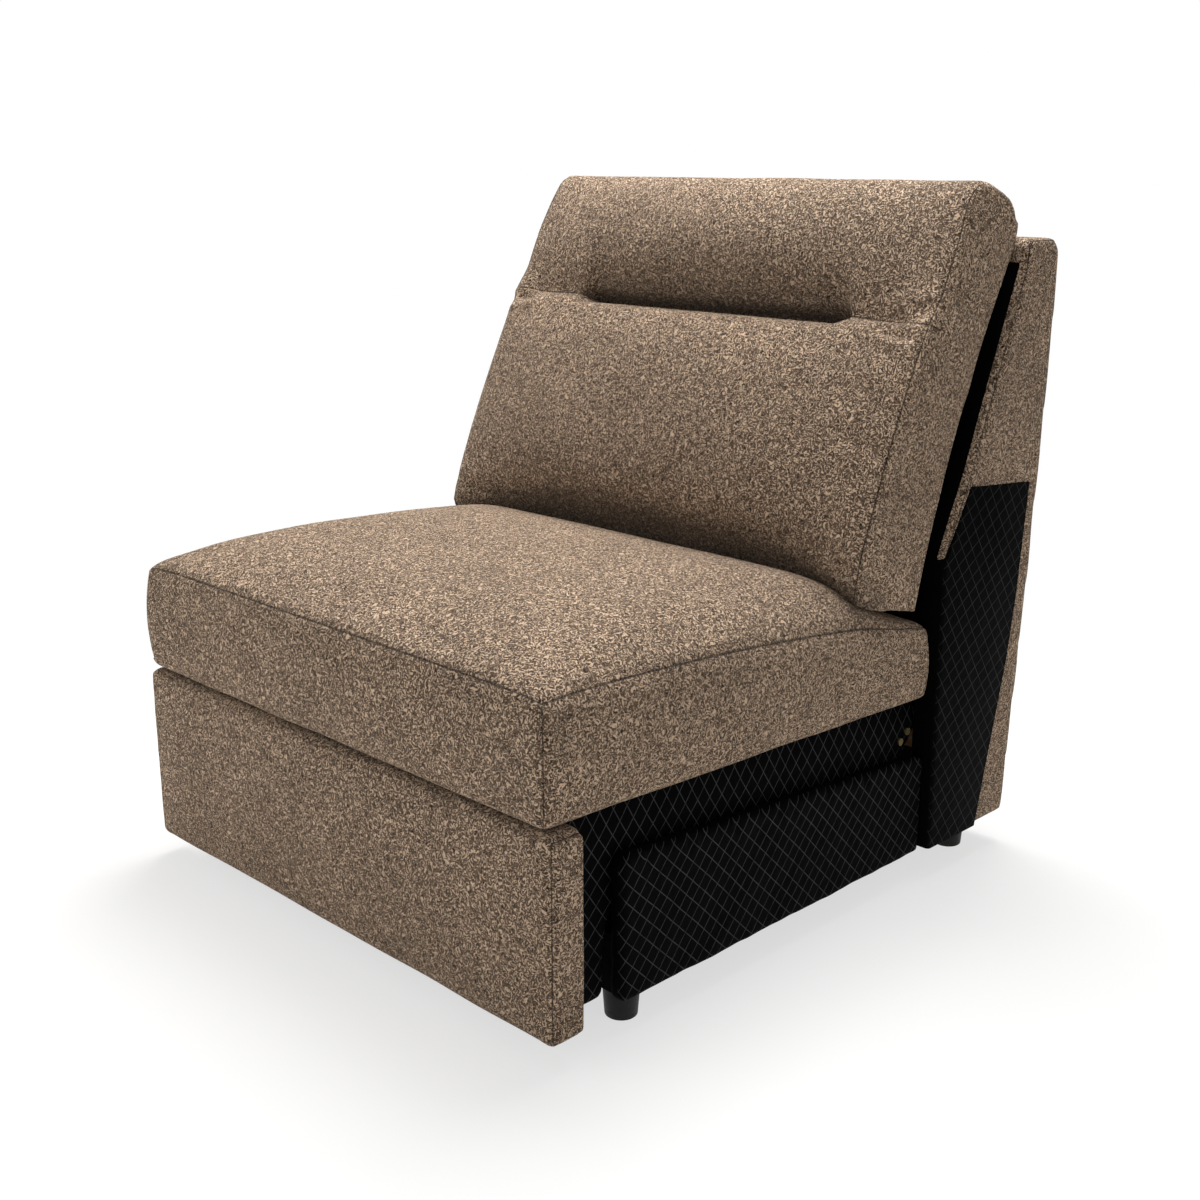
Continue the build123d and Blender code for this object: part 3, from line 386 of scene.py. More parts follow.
@dataclass(frozen=True)
class LatticeCover(Finish):
    """Black bonded cover cloth with a thin grey lattice of squares printed on it.

    The eye gets a deep matte black with slightly glossier grey lines. How the cloth was
    pulled over its board sets the slant, in degrees, and the pitch, in metres, of each
    family of lines. Lines show only where the distance from the middle of the recliner
    is more than shown_beyond. A line is about 1 mm wide, and wanders by up to 3 mm.
    """

    slants: tuple[float, float] = (46.5, 125.1)
    pitches: tuple[float, float] = (0.0186, 0.0178)
    shown_beyond: float = 0.0
    cloth: str = "040404"
    line: str = "3a3b3d"
    line_share: float = 0.030
    wander: float = 0.003

    def make(self) -> bpy.types.Material:
        """Build the lattice from two families of slanted lines.

        Returns:
            The material.
        """
        t = Tree(self.name)
        where = t.place()
        uneven = t.add("TexNoise", None, Vector=where, Scale=7.0, Detail=1.0).outputs["Color"]
        drift = t.add("VectorMath", {"operation": "SCALE"}, _0=uneven, Scale=self.wander)
        spot = t.add("VectorMath", {"operation": "ADD"}, _0=where, _1=drift.outputs[0])
        axes = t.add("SeparateXYZ", None, _0=spot.outputs[0])
        across = t.math("ADD", axes.outputs[0], axes.outputs[1])
        families = [
            self.lines(t, across, axes.outputs[2], slant, pitch)
            for slant, pitch in zip(self.slants, self.pitches)
        ]
        lattice = t.math("MAXIMUM", families[0], families[1])
        if self.shown_beyond:
            side = t.math("ABSOLUTE", t.add("SeparateXYZ", None, _0=where).outputs[0])
            shown = t.ramp(side, self.shown_beyond - 0.003, self.shown_beyond)
            lattice = t.math("MULTIPLY", lattice, shown)
        worn = t.ramp(t.noise(where, 70.0, 3.0), 0.25, 0.6, 0.35, 1.0)
        grain = t.noise(where, 1500.0, 2.0)
        cloth = t.mix(t.ramp(grain, 0.3, 0.7), linear("020202"), linear(self.cloth))
        relief = t.math("ADD", t.math("MULTIPLY", grain, 0.6), t.math("MULTIPLY", lattice, 0.5))
        pucker = t.noise(where, 22.0, 3.0)
        return t.surface(
            Base_Color=t.mix(t.math("MULTIPLY", lattice, worn), cloth, linear(self.line)),
            Roughness=t.ramp(lattice, 0.0, 1.0, 0.86, 0.60),
            Specular_IOR_Level=0.05,
            IOR=1.49,
            Normal=t.bump(pucker, 0.004, t.bump(relief, 0.00025)),
        )

    def lines(
        self, t: Tree, across: object, up: object, slant: float, pitch: float
    ) -> bpy.types.NodeSocket:
        """Draw one family of lines.

        Args:
            t: the material's tree.
            across: the distance along the board.
            up: the height on the board.
            slant: the lines' slant in degrees.
            pitch: the distance between lines in metres.

        Returns:
            1 on a line and 0 between lines.
        """
        turn = math.radians(slant)
        place = t.math("MULTIPLY", up, math.cos(turn) / pitch)
        place = t.math("MULTIPLY_ADD", across, -math.sin(turn) / pitch, place)
        off = t.math("ABSOLUTE", t.math("SUBTRACT", t.math("FRACT", place), 0.5))
        return t.ramp(off, 0.5 - 1.7 * self.line_share, 0.5 - 0.5 * self.line_share)


@dataclass(frozen=True)
class ThinCloth(Finish):
    """Thin spun-bonded dust cloth, its fibres bonded together in small dots.

    The eye gets a flat charcoal black with a faint dotted grain. The real dots lie about
    1 mm apart and are drawn 2.4 mm apart, because they are too fine to show.
    """

    colour: str = "0c0c0d"
    pale: str = "1b1b1d"

    def make(self) -> bpy.types.Material:
        """Build the fibres and the pressed dots.

        Returns:
            The material.
        """
        t = Tree(self.name)
        fibre = t.noise(t.place(stretch=(1, 3, 1)), 700.0, 3.0)
        dots = t.add("TexVoronoi", None, Vector=t.place(), Scale=420.0).outputs["Distance"]
        colour = t.mix(t.ramp(fibre, 0.35, 0.75), linear(self.colour), linear(self.pale))
        relief = t.math("ADD", fibre, t.ramp(dots, 0.1, 0.4))
        return t.surface(
            Base_Color=colour,
            Roughness=0.9,
            Specular_IOR_Level=0.2,
            Normal=t.bump(relief, 0.0002),
        )


@dataclass(frozen=True)
class WovenStrap(Finish):
    """Elastic webbing, woven in coarse ribs with darker threads between them.

    The eye gets a pale matte strap with fine crosswise ribs, 2.2 mm apart as on the real
    strap.
    """

    colour: str = "8c8577"
    thread: str = "4c4740"
    rib: float = 0.0022

    def make(self) -> bpy.types.Material:
        """Build the ribs across the strap.

        Returns:
            The material.
        """
        t = Tree(self.name)
        where = t.add("SeparateXYZ", None, _0=t.place())
        ribs = t.math("SINE", t.math("MULTIPLY", where.outputs[0], 2 * math.pi / self.rib))
        rows = t.math("SINE", t.math("MULTIPLY", where.outputs[2], 2 * math.pi / (2 * self.rib)))
        weave = t.math("MULTIPLY_ADD", t.math("MULTIPLY", ribs, rows), 0.5, 0.5)
        return t.surface(
            Base_Color=t.mix(weave, linear(self.thread), linear(self.colour)),
            Roughness=0.85,
            Normal=t.bump(weave, 0.0004),
        )


@dataclass(frozen=True)
class MouldedPlastic(Finish):
    """Plastic, injection-moulded in a spark-eroded tool.

    The eye gets an even colour, a grain about 1 mm across, a soft broad shine and a trace
    of scuffs.
    """

    colour: str = "0b0b0c"
    roughness: float = 0.42
    grain: float = 900.0
    gloss: float = 0.5

    def make(self) -> bpy.types.Material:
        """Build the grain and a trace of scuffs.

        Returns:
            The material.
        """
        t = Tree(self.name)
        grain = t.noise(t.place(), self.grain, 3.0)
        scuff = t.ramp(t.noise(t.place(stretch=(1, 1, 6)), 45.0, 4.0), 0.55, 0.75)
        base = linear(self.colour)
        lighter = tuple(min(1.0, c * 1.8 + 0.01) for c in base[:3]) + (1.0,)
        return t.surface(
            Base_Color=t.mix(t.math("MULTIPLY", scuff, 0.35), base, lighter),
            Roughness=t.ramp(scuff, 0.0, 1.0, self.roughness, self.roughness + 0.2),
            Specular_IOR_Level=self.gloss,
            IOR=1.49,
            Normal=t.bump(grain, 0.00012),
        )


@dataclass(frozen=True)
class PlatedSteel(Finish):
    """Steel, zinc-plated and passivated clear or yellow.

    The eye gets a bright metal with a streaky tint, in streaks about 4 mm long.
    """

    colour: str = "c79a4b"
    streak: str = "e3c27c"
    roughness: float = 0.32

    def make(self) -> bpy.types.Material:
        """Build the plating's streaks.

        Returns:
            The material.
        """
        t = Tree(self.name)
        streak = t.noise(t.place(stretch=(1, 1, 5)), 260.0, 4.0)
        return t.surface(
            Base_Color=t.mix(t.ramp(streak, 0.3, 0.7), linear(self.colour), linear(self.streak)),
            Metallic=1.0,
            Roughness=t.ramp(streak, 0.2, 0.8, self.roughness, self.roughness + 0.18),
            Normal=t.bump(streak, 0.00008),
        )


@dataclass(frozen=True)
class CoatedSteel(Finish):
    """Steel, powder-coated or oiled.

    The eye gets a dark film with an orange peel about 2 mm across, worn brighter in
    patches.
    """

    colour: str = "141416"
    worn: str = "3b3c40"
    metallic: float = 0.0
    roughness: float = 0.38

    def make(self) -> bpy.types.Material:
        """Build the orange peel and the rubbed patches.

        Returns:
            The material.
        """
        t = Tree(self.name)
        peel = t.noise(t.place(), 520.0, 2.0)
        rub = t.ramp(t.noise(t.place(), 38.0, 5.0), 0.56, 0.72)
        return t.surface(
            Base_Color=t.mix(t.math("MULTIPLY", rub, 0.5), linear(self.colour), linear(self.worn)),
            Metallic=self.metallic,
            Roughness=t.ramp(rub, 0.0, 1.0, self.roughness, self.roughness + 0.15),
            Normal=t.bump(peel, 0.00015),
        )


class Grain(Enum):
    """The way that a board's grain runs, as a stretch of the pattern on each axis."""

    ALONG_X = (1.0, 9.0, 9.0)
    ALONG_Y = (9.0, 1.0, 9.0)
    ALONG_Z = (9.0, 9.0, 1.0)


@dataclass(frozen=True)
class SawnTimber(Finish):
    """Softwood and plywood, sawn and left bare.

    The eye gets pale matte boards with darker growth lines about 10 mm apart and the fuzz
    of the saw.
    """

    pale: str = "cfae84"
    dark: str = "a07a4e"
    run: Grain = Grain.ALONG_X

    def make(self) -> bpy.types.Material:
        """Build growth lines that run along the board.

        Returns:
            The material.
        """
        t = Tree(self.name)
        along = t.place(stretch=self.run.value)
        lines = t.noise(along, 11.0, 6.0, Distortion=0.6)
        pores = t.noise(along, 160.0, 3.0)
        blend = t.math("MULTIPLY_ADD", t.ramp(lines, 0.35, 0.65), 0.8, t.math("MULTIPLY", pores, 0.2))
        return t.surface(
            Base_Color=t.mix(blend, linear(self.dark), linear(self.pale)),
            Roughness=t.ramp(pores, 0.3, 0.7, 0.72, 0.85),
            Normal=t.bump(pores, 0.0003),
        )


CLOTH = CurledYarnCloth("curled_yarn_cloth")
PLAIN_CLOTH = CurledYarnCloth("curled_yarn_cloth_plain", sewn=False)
SIDE_COVER = LatticeCover("lattice_cover_seat")
RAIL_COVER = LatticeCover("lattice_cover_rail", (50.5, 135.7), (0.0166, 0.0188), 0.424)
POST_COVER = LatticeCover(
    "lattice_cover_post", (30.4, 122.8), (0.0192, 0.0191), 0.445, cloth="020202", line="242527"
)
DUST_CLOTH = ThinCloth("dust_cloth")
STRAP = WovenStrap("webbing_strap")
FOOT_PLASTIC = MouldedPlastic("foot_plastic", "060607", 0.5, gloss=0.25)
GLIDE_PLASTIC = MouldedPlastic("glide_nylon", "d8d5cb", 0.38)
YELLOW_ZINC = PlatedSteel("yellow_zinc")
CLEAR_ZINC = PlatedSteel("clear_zinc", "9a9ca0", "c4c6c9", 0.28)
LINK_STEEL = CoatedSteel("link_steel")
SPRING_STEEL = CoatedSteel("spring_wire", "2b2c2f", "5a5c60", 0.9, 0.35)
BOARD_X = SawnTimber("board_grain_x", run=Grain.ALONG_X)
BOARD_Y = SawnTimber("board_grain_y", run=Grain.ALONG_Y)
BOARD_Z = SawnTimber("board_grain_z", run=Grain.ALONG_Z)


# ------------------------------------------------------------------ bench tools


def clear_selection() -> None:
    """Leave nothing selected."""
    bpy.ops.object.select_all(action="DESELECT")


def take(obj: bpy.types.Object) -> None:
    """Select one object alone and make it active.

    Args:
        obj: the object.
    """
    clear_selection()
    obj.select_set(True)
    bpy.context.view_layer.objects.active = obj


def settle(obj: bpy.types.Object) -> None:
    """Put the object's place, turn and size into its mesh."""
    take(obj)
    bpy.ops.object.transform_apply(location=True, rotation=True, scale=True)


def coords(obj: bpy.types.Object) -> Points:
    """Read the places of the mesh's points.

    Args:
        obj: the object.

    Returns:
        One row of x, y and z for each point.
    """
    flat = np.empty(len(obj.data.vertices) * 3, np.float32)
    obj.data.vertices.foreach_get("co", flat)
    return flat.reshape(-1, 3).astype(float)


def set_coords(obj: bpy.types.Object, points: Points) -> None:
    """Move the mesh's points to these places."""
    obj.data.vertices.foreach_set("co", np.ascontiguousarray(points, np.float32).ravel())
    obj.data.update()


def normals(obj: bpy.types.Object) -> Points:
    """Read the normals of the mesh's points.

    Args:
        obj: the object.

    Returns:
        One row for each point.
    """
    flat = np.empty(len(obj.data.vertices) * 3, np.float32)
    obj.data.vertex_normals.foreach_get("vector", flat)
    return flat.reshape(-1, 3).astype(float)


def apply_modifier(obj: bpy.types.Object, kind: str, **settings: object) -> None:
    """Add a modifier, set it and apply it.

    Args:
        obj: the object that it works on.
        kind: the modifier's type, such as "BEVEL".
        settings: its properties.
    """
    take(obj)
    bpy.ops.object.modifier_add(type=kind)
    modifier = obj.modifiers[-1]
    for key, value in settings.items():
        setattr(modifier, key, value)
    bpy.ops.object.modifier_apply(modifier=modifier.name)


def block(name: str, low: Sequence[float], high: Sequence[float]) -> bpy.types.Object:
    """Add a box between two corners, with its place in its mesh.

    Args:
        name: the new object's name.
        low: the corner with the lowest x, y and z.
        high: the opposite corner.

    Returns:
        The box.
    """
    middle = [(a + b) / 2 for a, b in zip(low, high)]
    clear_selection()
    bpy.ops.mesh.primitive_cube_add(size=1.0, location=middle)
    obj = bpy.context.object
    obj.name = obj.data.name = name
    obj.scale = [b - a for a, b in zip(low, high)]
    settle(obj)
    return obj


def slab(name: str, outline: Outline, x_low: float, x_high: float) -> bpy.types.Object:
    """Cut a board with this (y, z) outline and push it out from one x to another.

    Args:
        name: the new object's name.
        outline: the corners, in order round the edge.
        x_low: the x of one side.
        x_high: the x of the other side.

    Returns:
        The board, closed, with its faces outwards.
    """
    clear_selection()
    bpy.ops.mesh.primitive_circle_add(vertices=len(outline), radius=1.0, fill_type="NGON")
    obj = bpy.context.object
    obj.name = obj.data.name = name
    for vertex, (y, z) in zip(obj.data.vertices, outline):
        vertex.co = (x_low, y, z)
    bpy.ops.object.mode_set(mode="EDIT")
    bpy.ops.mesh.select_all(action="SELECT")
    bpy.ops.mesh.extrude_region_move(TRANSFORM_OT_translate={"value": (x_high - x_low, 0, 0)})
    bpy.ops.mesh.select_all(action="SELECT")
    bpy.ops.mesh.normals_make_consistent(inside=False)
    bpy.ops.object.mode_set(mode="OBJECT")
    return obj


def copied(
    obj: bpy.types.Object, name: str, shift: tuple[float, float, float] = (0, 0, 0), flip: bool = False
) -> bpy.types.Object:
    """Copy a piece with its own mesh, moved, or mirrored to the recliner's other side.

    Args:
        obj: the piece to copy.
        name: the copy's name.
        shift: how far the copy is moved.
        flip: whether it is turned over left to right.

    Returns:
        The copy, with its place in its mesh and its faces outwards.
    """
    take(obj)
    bpy.ops.object.duplicate(linked=False)
    copy = bpy.context.object
    copy.name = copy.data.name = name
    copy.location = shift
    copy.scale = (-1 if flip else 1, 1, 1)
    settle(copy)
    if flip:
        bpy.ops.object.mode_set(mode="EDIT")
        bpy.ops.mesh.select_all(action="SELECT")
        bpy.ops.mesh.normals_make_consistent(inside=False)
        bpy.ops.object.mode_set(mode="OBJECT")
    return copy


def round_edges(
    obj: bpy.types.Object,
    radius: float,
    segments: int = 4,
    chosen: Callable[[Vector, Vector], bool] | None = None,
) -> None:
    """Bevel edges in edit mode.

    Args:
        obj: the object.
        radius: how far back from the edge the rounding starts.
        segments: how many facets it has.
        chosen: says of an edge's two ends whether it is rounded; all are by default.
    """
    take(obj)
    bpy.ops.object.mode_set(mode="EDIT")
    bpy.ops.mesh.select_mode(type="EDGE")
    bpy.ops.mesh.select_all(action="DESELECT")
    mesh = bmesh.from_edit_mesh(obj.data)
    for edge in mesh.edges:
        ends = [v.co.copy() for v in edge.verts]
        edge.select_set(chosen is None or chosen(*ends))
    bmesh.update_edit_mesh(obj.data)
    bpy.ops.mesh.bevel(offset=radius, segments=segments, profile=0.5, clamp_overlap=True)
    bpy.ops.object.mode_set(mode="OBJECT")


def remesh(obj: bpy.types.Object, voxel: float) -> None:
    """Give the object an even skin of small square faces."""
    apply_modifier(obj, "REMESH", mode="VOXEL", voxel_size=voxel, use_smooth_shade=True)


def shade(obj: bpy.types.Object, angle: float | None = None) -> None:
    """Shade smooth, all over or up to an angle.

    Args:
        obj: the object.
        angle: edges sharper than this many degrees stay sharp; none do by default.
    """
    take(obj)
    if angle is None:
        bpy.ops.object.shade_smooth()
    else:
        bpy.ops.object.shade_smooth_by_angle(angle=math.radians(angle))


def mark(obj: bpy.types.Object, name: str, values: Points) -> None:
    """Write one number for each point of the mesh."""
    layer = obj.data.attributes.new(name, "FLOAT", "POINT")
    layer.data.foreach_set("value", np.ascontiguousarray(values, np.float32))


def marked(obj: bpy.types.Object, name: str) -> Points:
    """Read back the numbers that mark() wrote.

    Args:
        obj: the object.
        name: the name that they were written under.

    Returns:
        One number for each point.
    """
    values = np.empty(len(obj.data.vertices), np.float32)
    obj.data.attributes[name].data.foreach_get("value", values)
    return values.astype(float)


def fit(
    obj: bpy.types.Object,
    body: str,
    finish: Finish,
    stands_for: Iterable[str] = (),
) -> bpy.types.Object:
    """Dress a finished piece and set it on the body that it moves with.

    Args:
        obj: the piece.
        body: the body's name.
        finish: what the piece is covered in.
        stands_for: the solids that it is shown instead of.

    Returns:
        The piece.
    """
    obj.data.materials.clear()
    obj.data.materials.append(finish.material())
    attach(obj, body)
    nodes = tuple(stands_for)
    if nodes:
        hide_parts(*nodes)
    return obj


def ease(values: Points, low: float, high: float) -> Points:
    """Go smoothly from 0 at low to 1 at high."""
    t = np.clip((values - low) / (high - low), 0, 1)
    return t * t * (3 - 2 * t)


def bulge(values: Points, power: float, round_by: float) -> Points:
    """Rise from 0 at -1 and 1 to 1 in between, flatter on top the higher the power."""
    return (1 - np.clip(np.abs(values), 0, 1) ** power) ** round_by


def ripple(points: Points, length: float, seed: float = 0.0) -> Points:
    """Make a gentle unevenness from four slanted waves.

    Args:
        points: the places to work it out at.
        length: the waves' length in metres.
        seed: shifts the waves.

    Returns:
        A number from -1 to 1 for each point.
    """
    waves = ((0.9, 1.7, 0.4), (-1.3, 0.6, 1.1), (0.5, -1.1, 1.5), (1.6, 0.9, -0.7))
    total = np.zeros(len(points))
    for i, wave in enumerate(waves):
        total += np.sin(points @ np.array(wave) * (2 * math.pi / length / 1.7) + seed + 1.9 * i)
    return total / len(waves)


@dataclass(frozen=True)
class Fold:
    """A crease in the cloth between two points, drawn in with soft ridges beside it."""

    start: tuple[float, float, float]
    end: tuple[float, float, float]
    width: float = 0.009
    depth: float = 0.004
    ridge: float = 0.35

    def lift(self, points: Points) -> Points:
        """Work out how far each point moves along its normal.

        Args:
            points: the mesh's points.

        Returns:
            The move in metres, below 0 in the crease and above 0 beside it.
        """
        a, b = np.array(self.start), np.array(self.end)
        run = b - a
        t = (points - a) @ run / (run @ run)
        near = a + np.clip(t, 0, 1)[:, None] * run
        off = np.linalg.norm(points - near, axis=1) / self.width
        fade = np.sin(np.clip(t, 0.02, 0.98) * math.pi) ** 0.6
        return self.depth * fade * (-np.exp(-(off**2)) + self.ridge * np.exp(-((off - 1.9) ** 2)))


# ------------------------------------------------------------------ padded pieces


@dataclass
class PaddedPiece:
    """A stuffed piece: a block that is remeshed, moulded, inflated and sewn.

    Its seams are drawn in by seam_depth, over seam_reach, and the cloth beside them puckers.
    The cloth's movement under pressure levels off at travel.
    """

    name: str
    body: str
    stands_for: tuple[str, ...]
    fill: float
    voxel: float = 0.008
    pressure: float = 4.0
    frames: int = 20
    travel: float = 0.024
    seam_depth: float = 0.0022
    seam_reach: float = 0.007
    pucker: float = 0.0006
    folds: tuple[Fold, ...] = ()

    def blank(self) -> bpy.types.Object:
        """Cut the plain block that the piece starts from."""
        raise NotImplementedError

    def stitch_lines(self, points: Points) -> tuple[Points, Points]:
        """Return each block point's distance to the main seams and to the creases."""
        raise NotImplementedError

    def mould(self, points: Points) -> Points:
        """Move the block's points to the piece's shape."""
        raise NotImplementedError

    def painted_shade(self, points: Points) -> Points:
        """Return how much painted shade darkens the cloth at each block point, 0 to 1."""
        return np.zeros(len(points))

    def hold(self, points: Points, seam: Points, crease: Points) -> Points:
        """Return how firmly each point is held while the piece is inflated, 0 to 1."""
        raise NotImplementedError

    def give(self, points: Points) -> Points:
        """Return the share of the cloth's own movement that each point keeps."""
        return np.ones(len(points))

    def build(self) -> list[bpy.types.Object]:
        """Make the piece and set it on its body.

        Returns:
            The piece, alone in a list.
        """
        obj = self.blank()
        remesh(obj, self.voxel)
        flat = coords(obj)
        seam, crease = self.stitch_lines(flat)
        set_coords(obj, self.mould(flat))
        mark(obj, SEAM, seam)
        mark(obj, CREASE, crease)
        # Mark how much shade is painted into the cloth's colour at each point.
        mark(obj, PAINTED_SHADE, self.painted_shade(flat))
        self.inflate(obj, self.hold(flat, seam, crease), self.give(flat))
        apply_modifier(obj, "SUBSURF", levels=1, render_levels=1)
        self.sew(obj)
        shade(obj)
        return [fit(obj, self.body, CLOTH, self.stands_for)]

    def inflate(self, obj: bpy.types.Object, held: Points, give: Points) -> None:
        """Let the cover swell as cloth under pressure, and cap how far it moves.

        Args:
            obj: the moulded piece.
            held: how firmly each point is held, 0 to 1.
            give: the share of its movement that each point keeps.
        """
        before = coords(obj)
        group = obj.vertex_groups.new(name="held")
        for index in np.nonzero(held > 0.01)[0]:
            group.add([int(index)], float(held[index]), "REPLACE")
        take(obj)
        bpy.ops.object.modifier_add(type="CLOTH")
        cloth = obj.modifiers[-1]
        cloth.settings.quality = 4
        cloth.settings.mass = 0.35
        cloth.settings.tension_stiffness = 12
        cloth.settings.compression_stiffness = 12
        cloth.settings.shear_stiffness = 6
        cloth.settings.bending_stiffness = 0.6
        cloth.settings.use_pressure = True
        cloth.settings.uniform_pressure_force = self.pressure
        cloth.settings.effector_weights.gravity = 0
        cloth.settings.vertex_group_mass = group.name
        cloth.collision_settings.use_collision = False
        cloth.point_cache.frame_start = 1
        cloth.point_cache.frame_end = self.frames
        for number in range(1, self.frames + 1):
            bpy.context.scene.frame_set(number)
        bpy.ops.object.modifier_apply(modifier=cloth.name)
        bpy.context.scene.frame_set(1)
        moved = coords(obj) - before
        far = np.linalg.norm(moved, axis=1)
        LOG.info("%s: cloth moved up to %.1f mm", self.name, 1000 * far.max())
        kept = self.travel * np.tanh(far / self.travel) / np.maximum(far, 1e-9)
        set_coords(obj, before + moved * (kept * give)[:, None])
        obj.vertex_groups.clear()

    def sew(self, obj: bpy.types.Object) -> None:
        """Draw the cloth in along its seams, with small puckers and the listed folds.

        Args:
            obj: the swollen piece.
        """
        points, out = coords(obj), normals(obj)
        near = np.minimum(np.abs(marked(obj, SEAM)), np.abs(marked(obj, CREASE)))
        groove = np.exp(-((near / self.seam_reach) ** 2))
        beside = np.exp(-((near / (3.2 * self.seam_reach)) ** 2)) - groove
        lift = -self.seam_depth * groove + self.pucker * beside * ripple(points, 0.030)
        lift += 0.0009 * ripple(points, 0.16, 2.0) * ease(near, 0.0, 0.03)
        for fold in self.folds:
            lift += fold.lift(points)
        set_coords(obj, points + out * lift[:, None])


@dataclass
class SeatCushion(PaddedPiece):
    """The loose-cored seat: a crowned top panel sewn to boxing that bulges between seams.

    The crown stands over the top seam, by its first value at the front and its second at the
    rear. The underside and the top seam are given by their height at the front and their fall
    to the rear. From press_from of its depth on, the cushion is squashed flatter by the share
    press, because the inner back rests on it there.
    """

    crown: tuple[float, float] = (0.041, 0.079)
    underside: tuple[float, float] = (0.3050, 0.0250)
    top_seam: tuple[float, float] = (0.461, 0.071)
    rise: float = 0.15
    corner: float = 0.010
    seam_sag: float = 0.011
    boxing_swell: float = 0.0145
    boxing_inset: float = 0.0065
    press: float = 0.72
    press_from: tuple[float, float] = (0.76, 0.95)

    def __post_init__(self) -> None:
        """Take the place of the cushion from its own solid."""
        self.low, self.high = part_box("seat_cushion")
        self.half = self.high.x

    def blank(self) -> bpy.types.Object:
        """Cut a block as wide and deep as the cushion, with rounded upright corners.

        Returns:
            The block, with its underside at 0.
        """
        obj = block(self.name, (-self.half, self.low.y, 0), (self.half, self.high.y, self.rise))
        round_edges(obj, self.corner, 3, lambda a, b: abs(a.z - b.z) > 0.5 * self.rise)
        round_edges(obj, self.corner, 3, lambda a, b: max(a.z, b.z) < 0.001)
        return obj

    def stitch_lines(self, points: Points) -> tuple[Points, Points]:
        """Measure to the top seam and to the upright seams at the front corners.

        Args:
            points: the block's points.

        Returns:
            The distance to the top seam, above 0 on the top panel, and to the nearest corner.
        """
        x, y, z = points.T
        beside = self.half - np.abs(x)
        ahead = y - self.low.y
        inset = np.minimum(beside, np.minimum(ahead, self.high.y - y))
        seam = inset - (self.rise - z)
        corner = np.where(seam < 0, (ahead - beside) / math.sqrt(2), FAR)
        corner = np.where(np.maximum(ahead, beside) > 0.2, FAR, corner)
        return seam, np.where(z < 0.012, FAR, corner)

    def mould(self, points: Points) -> Points:
        """Tilt, crown and swell the block into the cushion.

        In it s runs from -1 to 1 across the cushion, t from 0 at its front to 1 at its rear and
        h from 0 at its underside to 1 at its top.

        Args:
            points: the block's points.

        Returns:
            The points of the cushion.
        """
        x, y, z = points.T
        h = z / self.rise
        t = (y - self.low.y) / (self.high.y - self.low.y)
        s = x / self.half
        floor = self.underside[0] - self.underside[1] * t
        seam = self.top_seam[0] - self.top_seam[1] * t + self.seam_sag * np.sin(math.pi * t)
        dome = bulge(s, 9, 0.65) * bulge(2 * t - 1, 5, 0.6)
        full = self.crown[0] + (self.crown[1] - self.crown[0]) * t
        under_back = 1 - self.press * ease(t, *self.press_from)
        top = full * dome * under_back * np.clip(h, 0, 1) ** 5
        swell = self.boxing_swell * np.sin(math.pi * np.clip(0.12 + 0.80 * h, 0, 1)) ** 0.7
        out = self.half - self.boxing_inset + swell
        ahead = self.low.y + 0.007 - 0.8 * swell
        new_y = np.where(y < 0, y * ahead / self.low.y, y)
        return np.stack([s * out, new_y, floor + (seam - floor) * h + top], axis=1)

    def hold(self, points: Points, seam: Points, crease: Points) -> Points:
        """Hold the underside, the rear and the seams.

        Args:
            points: the block's points.
            seam: their distance to the seams.
            crease: their distance to the creases; not used here.

        Returns:
            How firmly each point is held, from 0 to 1.
        """
        _, y, z = points.T
        firm = 1 - ease(np.abs(seam), 0.003, 0.010)
        under = 1 - ease(z, 0.004, 0.020)
        rear = ease(y, self.high.y - 0.20, self.high.y - 0.12)
        return np.maximum(np.maximum(firm, under), rear)

    def give(self, points: Points) -> Points:
        """Let the top swell fully and the boxing a little."""
        return 0.35 + 0.65 * ease(points[:, 2], 0.8 * self.rise, self.rise)


